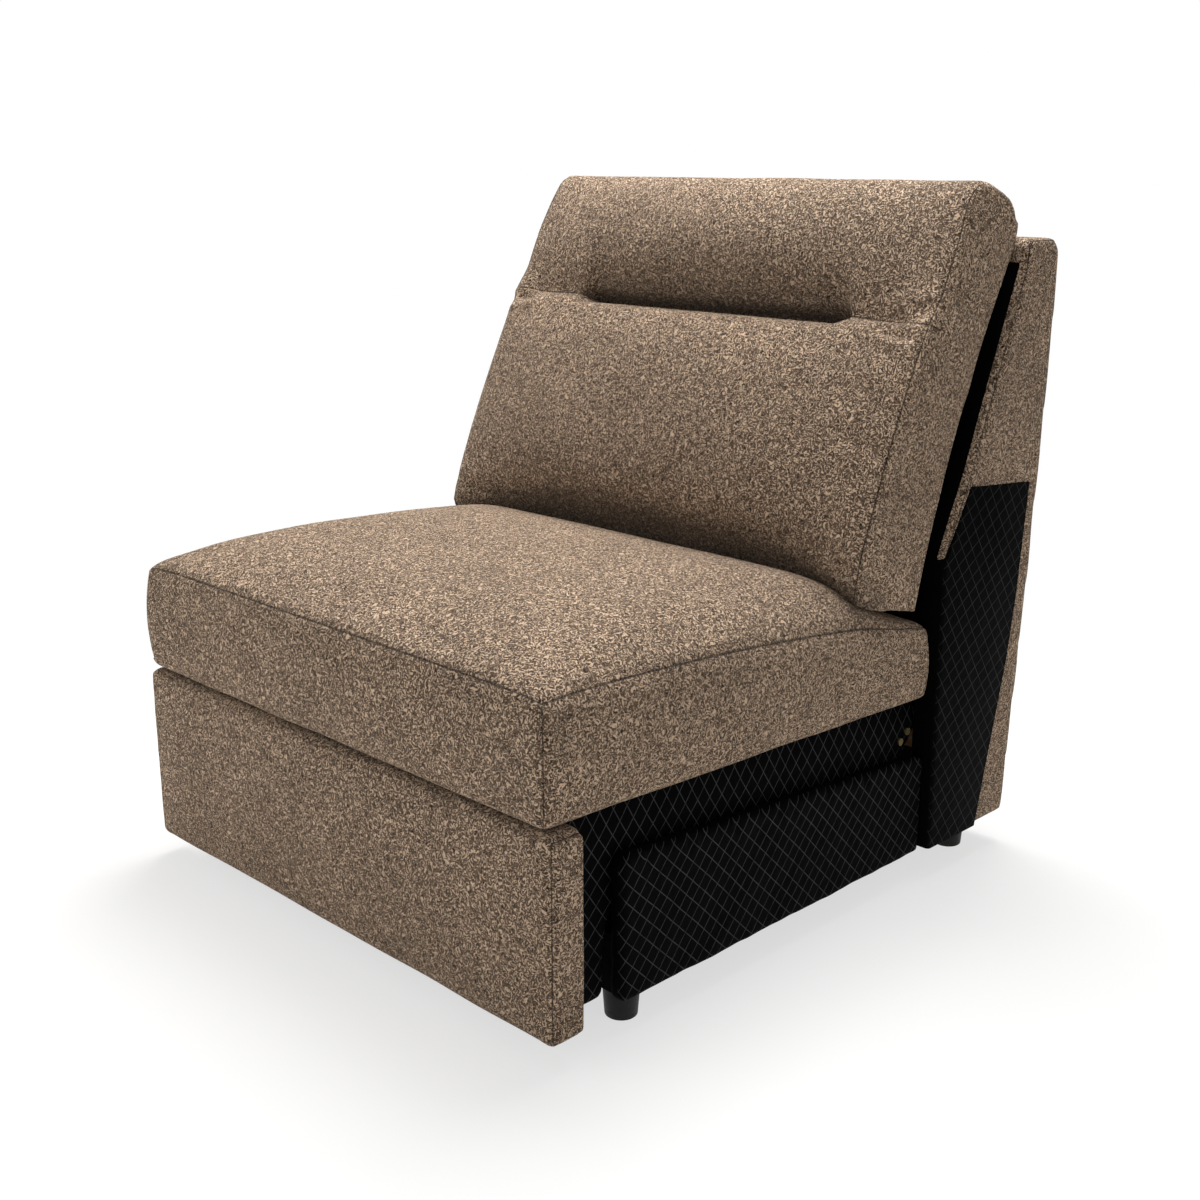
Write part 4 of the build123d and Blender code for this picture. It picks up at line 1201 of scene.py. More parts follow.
@dataclass
class BackCushion(PaddedPiece):
    """The reclining back: a head roll over a lumbar section, drawn in between them.

    The block is made in the back's own axes: x across, v up the lean and d out from
    the rear of the back frame towards the sitter. All sizes are in metres, as elsewhere.

    The block runs from bottom to top and is depth deep, with a recess behind for the frame
    and a rim round it. Its edges are rounded by the arcs. The front then moves out by lumbar
    below the tuck and by roll above it, where it also stays back by nape: by the first value
    all over and by the second towards the top. The tuck is tuck_half long to each side and
    tuck_depth deep, and its line drops by tuck_drop at its -X and its +X end. The roll turns
    under into it over roll_turn and hangs over it by lip; the lumbar section's top turns in
    over lumbar_turn. The middle of the top is crowned up. At the foot the corners hang, the
    middle is lifted, and the front rolls back by under_foot: at the corners by the first
    value and in the middle by both. The insets draw the rear edges towards the sitter.
    """

    lean: float = math.radians(22.5)
    foot: tuple[float, float] = (0.245, 0.490)
    half: float = 0.424
    bottom: float = -0.089
    top: float = 0.511
    depth: float = 0.148
    recess: float = 0.0268
    rim: float = 0.0125
    front_arc: float = 0.044
    rear_arc: float = 0.026
    foot_arc: float = 0.036
    gusset_arc: float = 0.056
    lumbar: float = 0.034
    roll: float = 0.017
    nape: tuple[float, float] = (0.010, 0.016)
    tuck_at: float = 0.303
    tuck_drop: tuple[float, float] = (0.003, 0.008)
    tuck_half: float = 0.262
    tuck_depth: float = 0.076
    roll_turn: float = 0.031
    lumbar_turn: float = 0.011
    lip: float = 0.013
    crowned: float = 0.007
    corner_hang: float = 0.019
    middle_lift: float = 0.015
    under_foot: tuple[float, float] = (0.016, 0.020)
    rear_side_inset: float = 0.018
    rear_top_inset: float = 0.003

    def __post_init__(self) -> None:
        """Add the folds that run in from the seams and the ends of the tuck.

        Each is given by its two ends, in the back's own axes, its width and its depth.
        """
        runs = (
            ((0.300, 0.299, 0.165), (0.408, 0.269, 0.146), 0.009, 0.0110),
            ((0.345, 0.320, 0.160), (0.415, 0.316, 0.140), 0.010, 0.0080),
            ((-0.424, 0.276, 0.140), (-0.335, 0.299, 0.165), 0.009, 0.0085),
            ((0.428, 0.271, 0.105), (0.446, 0.238, 0.015), 0.010, 0.0075),
            ((0.424, 0.352, 0.120), (0.440, 0.340, 0.040), 0.009, 0.0055),
            ((0.330, 0.128, 0.175), (0.420, 0.104, 0.148), 0.012, 0.0038),
            ((0.425, 0.120, 0.135), (0.444, 0.086, 0.030), 0.012, 0.0050),
            ((0.345, -0.030, 0.165), (0.418, -0.070, 0.150), 0.010, 0.0075),
            ((0.422, -0.048, 0.140), (0.436, -0.078, 0.060), 0.010, 0.0080),
            ((0.300, -0.052, 0.160), (0.395, -0.094, 0.150), 0.009, 0.0055),
            ((-0.420, -0.040, 0.150), (-0.335, -0.060, 0.160), 0.010, 0.0060),
        )
        self.folds = tuple(
            Fold(self.spot(*start), self.spot(*end), width, depth) for start, end, width, depth in runs
        )

    def spot(self, x: float, v: float, d: float) -> tuple[float, float, float]:
        """Turn a place in the back's own axes into one in the room.

        Args:
            x: the place across.
            v: its height up the lean.
            d: its distance in front of the rear of the frame.

        Returns:
            Its x, y and z.
        """
        y = self.foot[0] + v * math.sin(self.lean) - d * math.cos(self.lean)
        z = self.foot[1] + v * math.cos(self.lean) + d * math.sin(self.lean)
        return (x, y, z)

    def blank(self) -> bpy.types.Object:
        """Cut the block, with a recess behind for the back frame.

        Returns:
            The block, in the back's own axes.
        """
        obj = block(self.name, (-self.half, self.bottom, 0), (self.half, self.top, self.depth))
        take(obj)
        bpy.ops.object.mode_set(mode="EDIT")
        bpy.ops.mesh.select_mode(type="FACE")
        mesh = bmesh.from_edit_mesh(obj.data)
        for face in mesh.faces:
            face.select_set(face.normal.z < -0.9)
        bmesh.update_edit_mesh(obj.data)
        bpy.ops.mesh.inset(thickness=self.rim)
        bpy.ops.mesh.extrude_region_move(TRANSFORM_OT_translate={"value": (0, 0, self.recess)})
        bpy.ops.object.mode_set(mode="OBJECT")
        near_top = self.top - 0.001
        near_foot = self.bottom + 0.009
        round_edges(
            obj, self.front_arc, 6, lambda a, b: min(a.y, b.y) > near_top and min(a.z, b.z) > 0.1
        )
        round_edges(
            obj, self.rear_arc, 4, lambda a, b: min(a.y, b.y) > near_top and max(a.z, b.z) < 0.001
        )
        round_edges(
            obj, self.foot_arc, 5, lambda a, b: max(a.y, b.y) < near_foot and min(a.z, b.z) > 0.1
        )
        return obj

    def stitch_lines(self, points: Points) -> tuple[Points, Points]:
        """Measure to the seams down both sides and to the crease across.

        Args:
            points: the block's points.

        Returns:
            The distance to the nearer side's seam and the height over the crease.
        """
        x, v, d = points.T
        inset = self.half - np.abs(x)
        drop = np.minimum(self.depth - d, self.top - v)
        arc = self.front_arc
        round_v, round_d = v - (self.top - arc), d - (self.depth - arc)
        curved = (round_v > 0) & (round_d > 0)
        drop = np.where(curved, arc - np.hypot(round_v, round_d), drop)
        seam = inset - np.maximum(drop, 0)
        crease = np.where(d > 0.8 * self.depth, v - self.tuck_line(x), FAR)
        return seam, crease

    def round_top(self, points: Points) -> Points:
        """Round the rear edge of the top, wide at the gussets.

        Args:
            points: the block's points.

        Returns:
            The points, still in the back's own axes.
        """
        x, v, d = points.T
        arc = self.gusset_arc
        up, back = np.maximum(v - self.top + arc, 0), np.maximum(arc - d, 0)
        far = np.hypot(up, back)
        scale = np.where(far > 0, np.maximum(up, back) / np.maximum(far, 1e-9), 1.0)
        wide = ease(np.abs(x), 0.396, 0.412)
        scale = 1 + (scale - 1) * wide
        inside = (up > 0) & (back > 0)
        v = np.where(inside, self.top - arc + up * scale, v)
        d = np.where(inside, arc - back * scale, d)
        return np.stack([x, v, d], axis=1)

    def tuck_line(self, x: Points) -> Points:
        """Give the height of the crease, which drops a little towards the sides."""
        drop = np.where(x > 0, self.tuck_drop[1], self.tuck_drop[0])
        return self.tuck_at - drop * ease(np.abs(x), self.tuck_half, self.half)

    def along_tuck(self, x: Points) -> Points:
        """Give 1 along the deep tuck and 0 beyond its ends."""
        return 1 - ease(np.abs(x), self.tuck_half - 0.012, self.tuck_half + 0.022)

    def sections(self, x: Points, v: Points) -> Points:
        """Work out how far the front stands out or is drawn in.

        Args:
            x: the points' places across.
            v: their heights up the lean.

        Returns:
            The move of a point on the front, in metres, out towards the sitter.
        """
        s = np.abs(x) / self.half
        up = np.clip((v - self.bottom) / (self.tuck_at - self.bottom), 0, 1)
        head = np.clip((v - self.tuck_at) / (self.top - self.tuck_at), 0, 1)
        side = 1 - s**2.6
        lumbar = self.lumbar * np.sin(math.pi * up) ** 0.7 * (0.35 + 0.65 * side)
        roll = self.roll * np.sin(math.pi * head) ** 0.6 * side
        back = self.nape[0] * ease(v, self.tuck_at, self.tuck_at + 0.04) + self.nape[1] * head**2
        off = v - self.tuck_line(x)
        over = np.exp(-((np.abs(off) / self.roll_turn) ** 1.8))
        beneath = np.exp(-((np.abs(off) / self.lumbar_turn) ** 1.3))
        shallow = 0.26 * (1 - ease(s, 0.86, 1.0))
        pull = self.tuck_depth * np.where(off > 0, over, beneath)
        pull = pull * np.maximum(self.along_tuck(x), shallow)
        return np.where(v < self.tuck_at, lumbar, roll) - back - pull

    def heights(self, x: Points, v: Points, d: Points) -> Points:
        """Hang the foot's corners, lift its middle, and drop the roll's lip over the tuck.

        Args:
            x: the points' places across.
            v: their heights up the lean.
            d: their distances in front of the rear of the frame.

        Returns:
            Their new heights up the lean.
        """
        s = np.abs(x) / self.half
        f = np.clip(d / self.depth, 0, 1)
        low = 1 - ease(v, self.bottom, self.bottom + 0.11)
        hang = self.corner_hang * s**5 - self.middle_lift * (1 - s**2)
        moved = v - low * (f**1.5 * hang - 0.010 * (1 - f))
        over_tuck = v - self.tuck_line(x) - 0.026
        lip = self.lip * np.exp(-((over_tuck / 0.018) ** 2)) * self.along_tuck(x)
        moved = moved - self.frontness(d) * lip
        return moved + self.crowned * np.sin(math.pi * f) * ease(v, self.top - 0.06, self.top)

    def frontness(self, d: Points) -> Points:
        """Give 1 at the front, falling fast to 0 well before the rear."""
        return np.clip((d - 0.05) / (self.depth - 0.05), 0, 1) ** 3

    def widths(self, x: Points, v: Points, d: Points) -> Points:
        """Work out how wide the cushion is, to one side, at each point's height and depth.

        Args:
            x: the points' places across, which say the side.
            v: their heights up the lean.
            d: their distances in front of the rear of the frame.

        Returns:
            The half widths in metres.
        """
        f = np.clip(d / self.depth, 0, 1)
        low = 1 - ease(v, self.bottom, self.bottom + 0.11)
        left = self.leftness(x)
        at_front = self.half - 0.004 - 0.007 * low * (1 - left) - 0.010 * ease(v, 0.40, self.top)
        at_front = at_front + 0.011 * left * (1 - ease(v, self.bottom, 0.25))
        at_rear = self.half + 0.002 - 0.003 * self.middling(v)
        return at_front + (at_rear - at_front) * (1 - f) ** 0.8 + 0.006 * np.sin(math.pi * f)

    @staticmethod
    def leftness(x: Points) -> Points:
        """Give 1 at the end that the photograph shows on its left, and 0 elsewhere."""
        return ease(-x, 0.30, 0.42)

    @staticmethod
    def middling(v: Points) -> Points:
        """Give 1 half way up the cushion, falling to 0 at its foot and near its top."""
        return np.sin(math.pi * np.clip((v + 0.09) / 0.58, 0, 1)) ** 0.8

    def mould(self, points: Points) -> Points:
        """Crown the block, draw in the tuck and lean it back.

        Args:
            points: the block's points.

        Returns:
            The points of the cushion, in the room.
        """
        x, v, d = self.round_top(points).T
        s = np.abs(x) / self.half
        behind = (1 - np.clip(d / self.depth, 0, 1)) ** 2
        front = self.frontness(d)
        under = (self.under_foot[0] + self.under_foot[1] * (1 - s**4)) * (1 - 0.75 * self.leftness(x))
        out = d + front * self.sections(x, v)
        out = out - under * front * (1 - ease(v, self.bottom, self.bottom + 0.105)) ** 1.7
        out = out + self.rear_side_inset * self.middling(v) * behind * ease(np.abs(x), 0.405, 0.415)
        out = out + self.rear_top_inset * behind * ease(v, 0.40, 0.47)
        _, y, z = self.spot(0.0, self.heights(x, v, d), out)
        return np.stack([np.sign(x) * s * self.widths(x, v, d), y, z], axis=1)

    def hold(self, points: Points, seam: Points, crease: Points) -> Points:
        """Hold the rear, the bottom, the seams and the tuck.

        Args:
            points: the block's points.
            seam: their distance to the seams.
            crease: their distance to the creases.

        Returns:
            How firmly each point is held, from 0 to 1.
        """
        x, v, d = points.T
        firm = 1 - ease(np.abs(seam), 0.003, 0.010)
        tuck = (1 - ease(np.abs(crease), 0.004, 0.014)) * (d > 0.8 * self.depth)
        tuck = tuck * np.maximum(1 - ease(np.abs(x), self.tuck_half, self.tuck_half + 0.02), 0.45)
        rear = 1 - ease(d, self.recess + 0.004, self.recess + 0.020)
        under = 1 - ease(v, self.bottom + 0.004, self.bottom + 0.02)
        return np.maximum(np.maximum(firm, tuck), np.maximum(rear, under))

    def painted_shade(self, points: Points) -> Points:
        """Paint shade where the head roll turns under into the tuck and at the foot, where the seat
        meets it.

        Args:
            points: the block's points.

        Returns:
            How much painted shade each point gets, from 0 to 1.
        """
        x, v, d = points.T
        # Painted shade under the head roll, fading upwards from the tuck.
        off = v - self.tuck_line(x)
        fading = np.exp(-((np.maximum(off, 0) / 0.032) ** 1.3))
        under_roll = np.where(off > -0.003, fading, 0) * self.along_tuck(x)
        # Painted shade at the foot of the back, where it meets the seat.
        sag = 0.043 * (np.abs(x) / self.half) ** 3
        foot_shade = 0.9 * (1 - ease(v, -0.055 - sag, -0.003 - sag))
        return np.maximum(under_roll, foot_shade) * ease(d, 0.5 * self.depth, 0.8 * self.depth)

    def give(self, points: Points) -> Points:
        """Let the front swell fully, the gusset and the tuck a little.

        Args:
            points: the block's points.

        Returns:
            The share of the movement that each point keeps.
        """
        x, v, d = points.T
        front = ease(d, 0.8 * self.depth, self.depth)
        away = ease(np.abs(v - self.tuck_line(x)), 0.012, 0.075)
        return 0.10 + 0.90 * front * (0.15 + 0.85 * away)


@dataclass
class FootrestPanel(PaddedPiece):
    """The padded board that closes the front and swings up under the feet."""

    round_front: float = 0.010
    round_corner: float = 0.010
    crown: float = 0.004
    past_ends: float = 0.003

    def __post_init__(self) -> None:
        """Take the panel's place from its pad and its board."""
        pad_low, pad_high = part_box("footrest_pad")
        board_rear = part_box("footrest_board")[1].y - 0.0002
        self.low = Vector((pad_low.x - self.past_ends, pad_low.y, pad_low.z - 0.001))
        self.high = Vector((pad_high.x + self.past_ends, board_rear, pad_high.z - 0.002))

    def blank(self) -> bpy.types.Object:
        """Cut the panel with rounded corners and a soft front edge.

        Returns:
            The block.
        """
        obj = block(self.name, self.low, self.high)
        round_edges(obj, self.round_corner, 4, lambda a, b: abs(a.y - b.y) > 0.03)
        round_edges(obj, self.round_front, 3, lambda a, b: max(a.y, b.y) < self.low.y + 0.001)
        return obj

    def stitch_lines(self, points: Points) -> tuple[Points, Points]:
        """Measure to the seam round each end panel.

        Args:
            points: the block's points.

        Returns:
            The distance to the nearer seam, and FAR for the creases, because it has none.
        """
        x, y, z = points.T
        beside = self.high.x - np.abs(x)
        round_the_end = np.minimum(y - self.low.y, np.minimum(z - self.low.z, self.high.z - z))
        return beside - round_the_end, np.full(len(points), FAR)

    def mould(self, points: Points) -> Points:
        """Crown the front a little.

        Args:
            points: the block's points.

        Returns:
            The points of the panel.
        """
        x, y, z = points.T
        s = x / self.high.x
        t = (z - self.low.z) / (self.high.z - self.low.z)
        depth = (self.high.y - y) / (self.high.y - self.low.y)
        dome = bulge(s, 8, 1.0) * np.sin(math.pi * np.clip(t, 0, 1)) ** 0.6
        front = y + (0.001 - self.crown * dome) * depth**3
        return np.stack([x, front, z], axis=1)

    def hold(self, points: Points, seam: Points, crease: Points) -> Points:
        """Hold the seams and all but the front face."""
        back = ease(points[:, 1], self.low.y + 0.006, self.low.y + 0.02)
        return np.maximum(back, 1 - ease(np.abs(seam), 0.003, 0.010))

    def give(self, points: Points) -> Points:
        """Let the thin pad swell a little."""
        return np.full(len(points), 0.3)


# ------------------------------------------------------------------ outer back


@dataclass
class OuterBack:
    """The fixed upright: a cloth shell over boards, with black covers low on its sides.

    Its side columns reach from inner to half. The named corners of its outline, seen from the
    side, are given as y and z, from the knee in front up and over to the heel behind.
    """

    half: float = 0.4455
    inner: float = 0.4055
    knee: tuple[float, float] = (0.2535, 0.488)
    elbow: tuple[float, float] = (0.308, 0.602)
    brow: tuple[float, float] = (0.4216, 0.887)
    crest: float = 0.9255
    shoulder: tuple[float, float] = (0.5115, 0.820)
    waist: tuple[float, float] = (0.4920, 0.439)
    heel: tuple[float, float] = (0.4620, 0.0480)
    voxel: float = 0.007
    wall: float = 0.010
    overlap: float = 0.010
    strip: float = 0.015
    lined_to: float = 0.89
    cover_proud: float = 0.0012
    cover_rear: Outline = ((0.4665, 0.573), (0.4515, 0.402), (0.4365, 0.302))

    def profile(self) -> list[tuple[float, float]]:
        """Give the outline of the upright, seen from the side.

        Returns:
            Its corners as y and z, from the foot's front over the top to the foot's rear.
        """
        return [
            (self.knee[0], self.heel[1]),
            self.knee,
            self.elbow,
            self.brow,
            (self.brow[0] + 0.002, self.crest - 0.010),
            (self.brow[0] + 0.012, self.crest),
            (self.shoulder[0] - 0.016, self.crest),
            (self.shoulder[0], self.crest - 0.016),
            self.shoulder,
            self.waist,
            self.heel,
        ]

    def build(self) -> list[bpy.types.Object]:
        """Make the shell and both covers.

        Returns:
            The three pieces.
        """
        left = self.cover("upright_cover_left")
        right = copied(left, "upright_cover_right", flip=True)
        fit(left, "base", POST_COVER, ("upright_patch_left",))
        fit(right, "base", POST_COVER, ("upright_patch_right",))
        return [self.shell(), left, right]

    def shell(self) -> bpy.types.Object:
        """Join two side columns, the bridge between them and the rear wall, and pad them.

        Returns:
            The shell, dressed and lined.
        """
        outline = self.profile()
        bridge = [*outline[1:-2], (self.waist[0], self.knee[1])]
        wall = [
            (self.waist[0] - self.wall, self.knee[1] + 0.02),
            (self.waist[0], self.knee[1] + 0.02),
            self.waist,
            self.heel,
            (self.heel[0] - self.wall - 0.001, self.heel[1]),
            (self.waist[0] - self.wall - 0.001, self.waist[1]),
        ]
        reach = self.inner + self.overlap
        parts = [
            slab("outer_back_cloth", outline, self.inner, self.half),
            slab("column", outline, -self.half, -self.inner),
            slab("bridge", bridge, -reach, reach),
            slab("wall", wall, -reach, reach),
        ]
        clear_selection()
        for part in parts:
            part.select_set(True)
        obj = parts[0]
        bpy.context.view_layer.objects.active = obj
        bpy.ops.object.join()
        remesh(obj, self.voxel)
        apply_modifier(obj, "SMOOTH", factor=0.5, iterations=6)
        self.stitch(obj)
        shade(obj)
        fit(
            obj,
            "base",
            CLOTH,
            (
                "outer_front_panel",
                "outer_front_strips",
                "outer_top_cap",
                "outer_rear_panel",
                "upright_side_left",
                "upright_side_right",
            ),
        )
        self.line_front(obj)
        return obj

    def line_front(self, obj: bpy.types.Object) -> None:
        """Line the front behind the reclining back in black, up to the side strips.

        Args:
            obj: the shell, which already wears its cloth.
        """
        obj.data.materials.append(POST_COVER.material())
        for face in obj.data.polygons:
            middle = face.center
            between = abs(middle.x) < self.half - self.strip and middle.z < self.lined_to
            if face.normal.y < -0.4 and between:
                face.material_index = 1

    def stitch(self, obj: bpy.types.Object) -> None:
        """Mark the seam round each side panel and draw the cloth in along it.

        Args:
            obj: the joined and smoothed shell.
        """
        points, out = coords(obj), normals(obj)
        outline = np.array(self.profile())
        edge = np.full(len(points), 9.0)
        for a, b in zip(outline, np.roll(outline, -1, axis=0)):
            run = b - a
            t = np.clip((points[:, 1:] - a) @ run / (run @ run), 0, 1)
            edge = np.minimum(edge, np.linalg.norm(points[:, 1:] - a - t[:, None] * run, axis=1))
        seam = (self.half - np.abs(points[:, 0])) - edge
        seam = np.where(np.abs(points[:, 0]) < self.inner, FAR, seam)
        mark(obj, SEAM, seam)
        mark(obj, CREASE, np.full(len(points), FAR))
        lift = 0.0008 * ripple(points, 0.12) - 0.0012 * np.exp(-((seam / 0.008) ** 2))
        set_coords(obj, points + out * lift[:, None])

    def cover(self, name: str) -> bpy.types.Object:
        """Wrap the black cover round the lower front of the left column.

        Args:
            name: the cover's name.

        Returns:
            The cover.
        """
        outline = [
            (self.knee[0] - self.cover_proud, self.heel[1] - 0.0005),
            (self.knee[0] - self.cover_proud, self.knee[1] - 0.002),
            (self.knee[0] + 0.005, self.knee[1] + 0.002),
            (self.elbow[0] + 0.003, self.elbow[1] - 0.015),
            *self.cover_rear,
            (0.3765, self.heel[1] - 0.0005),
        ]
        obj = slab(name, outline, self.inner - 0.0005, self.half + 0.0014)
        round_edges(
            obj,
            0.007,
            4,
            lambda a, b: max(a.y, b.y) < self.knee[0] and abs(a.z - b.z) > 0.3,
        )
        apply_modifier(obj, "BEVEL", width=0.0011, segments=2, limit_method="ANGLE")
        shade(obj, 35)
        return obj


# ------------------------------------------------------------------ covered boards


@dataclass
class CoveredBoard:
    """A board wrapped in thin wadding and black cover cloth, with soft edges.

    The fields describe the board of the left side, which reaches from inner to outer. Its edges
    are rounded by edge, its surface waves by loft, and its outer face leans in by lean_in where
    it comes up to top_at.
    """

    name: str
    body: str
    outline: Outline
    inner: float
    outer: float
    finish: Finish
    stands_for: tuple[str, ...]
    edge: float = 0.008
    loft: float = 0.0012
    grid: float = 0.011
    lean_in: float = 0.0
    top_at: float = 0.0
    pinches: tuple[Fold, ...] = ()

    def build(self) -> list[bpy.types.Object]:
        """Make the board of the left side and its mirrored copy, and dress both.

        Returns:
            The left board and the right one.
        """
        left = self.board()
        right = copied(left, self.name.replace("left", "right"), flip=True)
        others = tuple(node.replace("left", "right") for node in self.stands_for)
        fit(left, self.body, self.finish, self.stands_for)
        fit(right, self.body, self.finish, others)
        return [left, right]

    def board(self) -> bpy.types.Object:
        """Cut the board, round its edges and pad it.

        Returns:
            The board of the left side.
        """
        obj = slab(self.name, self.outline, self.inner, self.outer)
        round_edges(obj, self.edge, 4)
        remesh(obj, 0.5 * self.grid)
        apply_modifier(obj, "SMOOTH", factor=0.5, iterations=4)
        points, out = coords(obj), normals(obj)
        lift = self.loft * ripple(points, 0.09, 0.7) + 0.5 * self.loft * ripple(points, 0.035, 3.1)
        for pinch in self.pinches:
            lift += pinch.lift(points)
        points = points + out * lift[:, None]
        middle = (self.inner + self.outer) / 2
        outer = ease(points[:, 0], middle - 0.002, middle + 0.006)
        height = points[:, 2] + points[:, 1] * math.tan(math.radians(2))
        points[:, 0] -= self.lean_in * outer * ease(height, self.top_at - 0.045, self.top_at)
        set_coords(obj, points)
        shade(obj)
        return obj


@dataclass
class BaseRails:
    """The padded rails low on both sides of the base.

    Their top falls by slope towards the rear and stands at top_at over the middle of the
    object; its front corner is bent down by bend. staples are the pinches' places in y.
    """

    inner: float = 0.4064
    outer: float = 0.4315
    bottom: float = 0.0405
    top_at: float = 0.209
    slope: float = math.tan(math.radians(4))
    bend: float = 0.014
    staples: tuple[float, ...] = (-0.335, -0.262, -0.171, -0.083, 0.021, 0.106, 0.189)

    def build(self) -> list[bpy.types.Object]:
        """Make both rails, with the small pinches where their covers are stapled on top.

        Returns:
            The left rail and the right one.
        """
        low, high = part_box("side_rail_cover_left")
        front_top = self.top_at - self.slope * low.y
        rear_top = self.top_at - self.slope * high.y
        outline = [
            (low.y, self.bottom),
            (high.y, self.bottom),
            (high.y, rear_top),
            (low.y + self.bend, front_top),
            (low.y + 0.3 * self.bend, front_top - 0.3 * self.bend),
            (low.y, front_top - self.bend),
        ]
        nodes = ("side_rail_cover_left", "side_rail_left")
        rail = CoveredBoard(
            "base_rail_left", "base", outline, self.inner, self.outer, RAIL_COVER, nodes
        )
        rail.edge = 0.006
        rail.pinches = tuple(self.pinch(y) for y in self.staples)
        return rail.build()

    def pinch(self, y: float) -> Fold:
        """Fold the cover at a staple, over the top edge of the outer face.

        Args:
            y: the staple's place.

        Returns:
            The fold.
        """
        below = (0.4318, y, 0.190 - self.slope * y)
        above = (0.430, y + 0.004, 0.2105 - self.slope * y)
        return Fold(below, above, 0.006, 0.0035)


@dataclass
class SeatSides:
    """The seat's side boards, each with a leg that drops in front of the base rail.

    Their top falls by slope towards the rear and stands at deck 0.4 m before the middle.
    """

    inner: float = 0.3803
    outer: float = 0.4045
    leg: float = 0.0635
    belly: float = 0.150
    deck: float = 0.298
    slope: float = math.tan(math.radians(2))

    def build(self) -> list[bpy.types.Object]:
        """Make both boards.

        Returns:
            The left board and the right one.
        """
        low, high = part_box("seat_side_cover_left")
        outline = [
            (low.y, low.z),
            (low.y + self.leg, low.z),
            (low.y + self.leg, 0.110),
            (low.y + 0.075, self.belly),
            (high.y - 0.070, self.belly),
            (high.y, 0.228),
            (high.y, self.deck - self.slope * (high.y + 0.4)),
            (low.y, self.deck - self.slope * (low.y + 0.4)),
        ]
        nodes = ("seat_side_cover_left", "seat_side_left")
        board = CoveredBoard(
            "seat_side_left_cloth", "seat", outline, self.inner, self.outer, SIDE_COVER, nodes
        )
        board.lean_in, board.top_at = 0.010, self.deck - 0.4 * self.slope
        return board.build()


@dataclass
class Feet:
    """Round plastic feet: a tapered cup with a rounded toe and a shallow hollow below.

    The toe's rim is ring wide, and the hollow inside it is hollow deep.
    """

    radius: float = 0.024
    toe: float = 0.021
    height: float = 0.040
    sides: int = 48
    ring: float = 0.005
    hollow: float = 0.003
    toe_edge: float = 0.0022

    def build(self) -> list[bpy.types.Object]:
        """Turn one foot and set a copy of it at each of the four places.

        Returns:
            The four feet.
        """
        first = self.foot("foot_cup")
        made = []
        for end in ("front", "rear"):
            for hand in ("left", "right"):
                node = f"foot_{end}_{hand}"
                low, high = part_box(node)
                place = ((low.x + high.x) / 2, (low.y + high.y) / 2, 0.0)
                cup = copied(first, f"{node}_cup", place)
                made.append(fit(cup, "base", FOOT_PLASTIC, (node,)))
        bpy.data.objects.remove(first)
        return made

    def foot(self, name: str) -> bpy.types.Object:
        """Turn a foot from a cone, with a shallow hollow below and a rounded toe.

        Args:
            name: the foot's name.

        Returns:
            The foot, standing on the floor at the middle of the room.
        """
        clear_selection()
        bpy.ops.mesh.primitive_cone_add(
            vertices=self.sides,
            radius1=self.toe,
            radius2=self.radius,
            depth=self.height,
            location=(0, 0, self.height / 2),
        )
        obj = bpy.context.object
        obj.name = obj.data.name = name
        settle(obj)
        bpy.ops.object.mode_set(mode="EDIT")
        bpy.ops.mesh.select_mode(type="FACE")
        mesh = bmesh.from_edit_mesh(obj.data)
        for face in mesh.faces:
            face.select_set(face.normal.z < -0.9)
        bmesh.update_edit_mesh(obj.data)
        bpy.ops.mesh.inset(thickness=self.ring)
        bpy.ops.mesh.inset(thickness=0.001)
        bpy.ops.mesh.extrude_region_move(TRANSFORM_OT_translate={"value": (0, 0, self.hollow)})
        bpy.ops.object.mode_set(mode="OBJECT")
        round_edges(obj, self.toe_edge, 3, self.on_toe)
        shade(obj, 40)
        return obj

    def on_toe(self, a: Vector, b: Vector) -> bool:
        """Say whether an edge lies on the outer rim of the toe."""
        out = min(math.hypot(p.x, p.y) for p in (a, b))
        return max(a.z, b.z) < 1e-5 and out > 0.95 * self.toe


# ------------------------------------------------------------------ carried-over solids


class FrameFinishes:
    """The finish of each solid that is kept as it is.

    A timber that shows is wrapped in black cloth. Bare timber has its grain along its length.
    """

    WRAPPED = ("base_crossbar_front", "base_beam", "back_stile", "back_top_rail", "back_bottom_rail")
    ALONG_Y = ("carriage_rail",)
    ALONG_Z = ("back_post",)
    BY_SLOT: dict[str, Finish] = {
        "dust_cloth": DUST_CLOTH,
        "webbing": STRAP,
        "nylon": GLIDE_PLASTIC,
        "yellow_zinc": YELLOW_ZINC,
        "zinc": CLEAR_ZINC,
        "spring_steel": SPRING_STEEL,
        "mechanism_steel": LINK_STEEL,
        "black_plastic": FOOT_PLASTIC,
        "black_cover": SIDE_COVER,
        "fabric_taupe": PLAIN_CLOTH,
        "foam_in_fabric": PLAIN_CLOTH,
    }

    def finish_of(self, node: str, slot: str) -> Finish:
        """Choose a node's finish.

        Args:
            node: the node's name.
            slot: its material slot in the record.

        Returns:
            The finish.
        """
        if node.startswith(self.WRAPPED):
            return POST_COVER
        if slot in self.BY_SLOT:
            return self.BY_SLOT[slot]
        if node.startswith(self.ALONG_Y):
            return BOARD_Y
        return BOARD_Z if node.startswith(self.ALONG_Z) else BOARD_X

    def dress(self) -> None:
        """Give every node its finish."""
        slots = {part["node"]: part["material_slot"] for part in frame["record"]["subparts"]}
        for name, node in frame["nodes"].items():
            node.data.materials.clear()
            node.data.materials.append(self.finish_of(name, slots[name]).material())


# ------------------------------------------------------------------ studio


@dataclass(frozen=True)
class SoftBox:
    """A square lamp of the studio: its place, what it points at, its width and its watts."""

    name: str
    place: tuple[float, float, float]
    target: tuple[float, float, float]
    size: float
    power: float


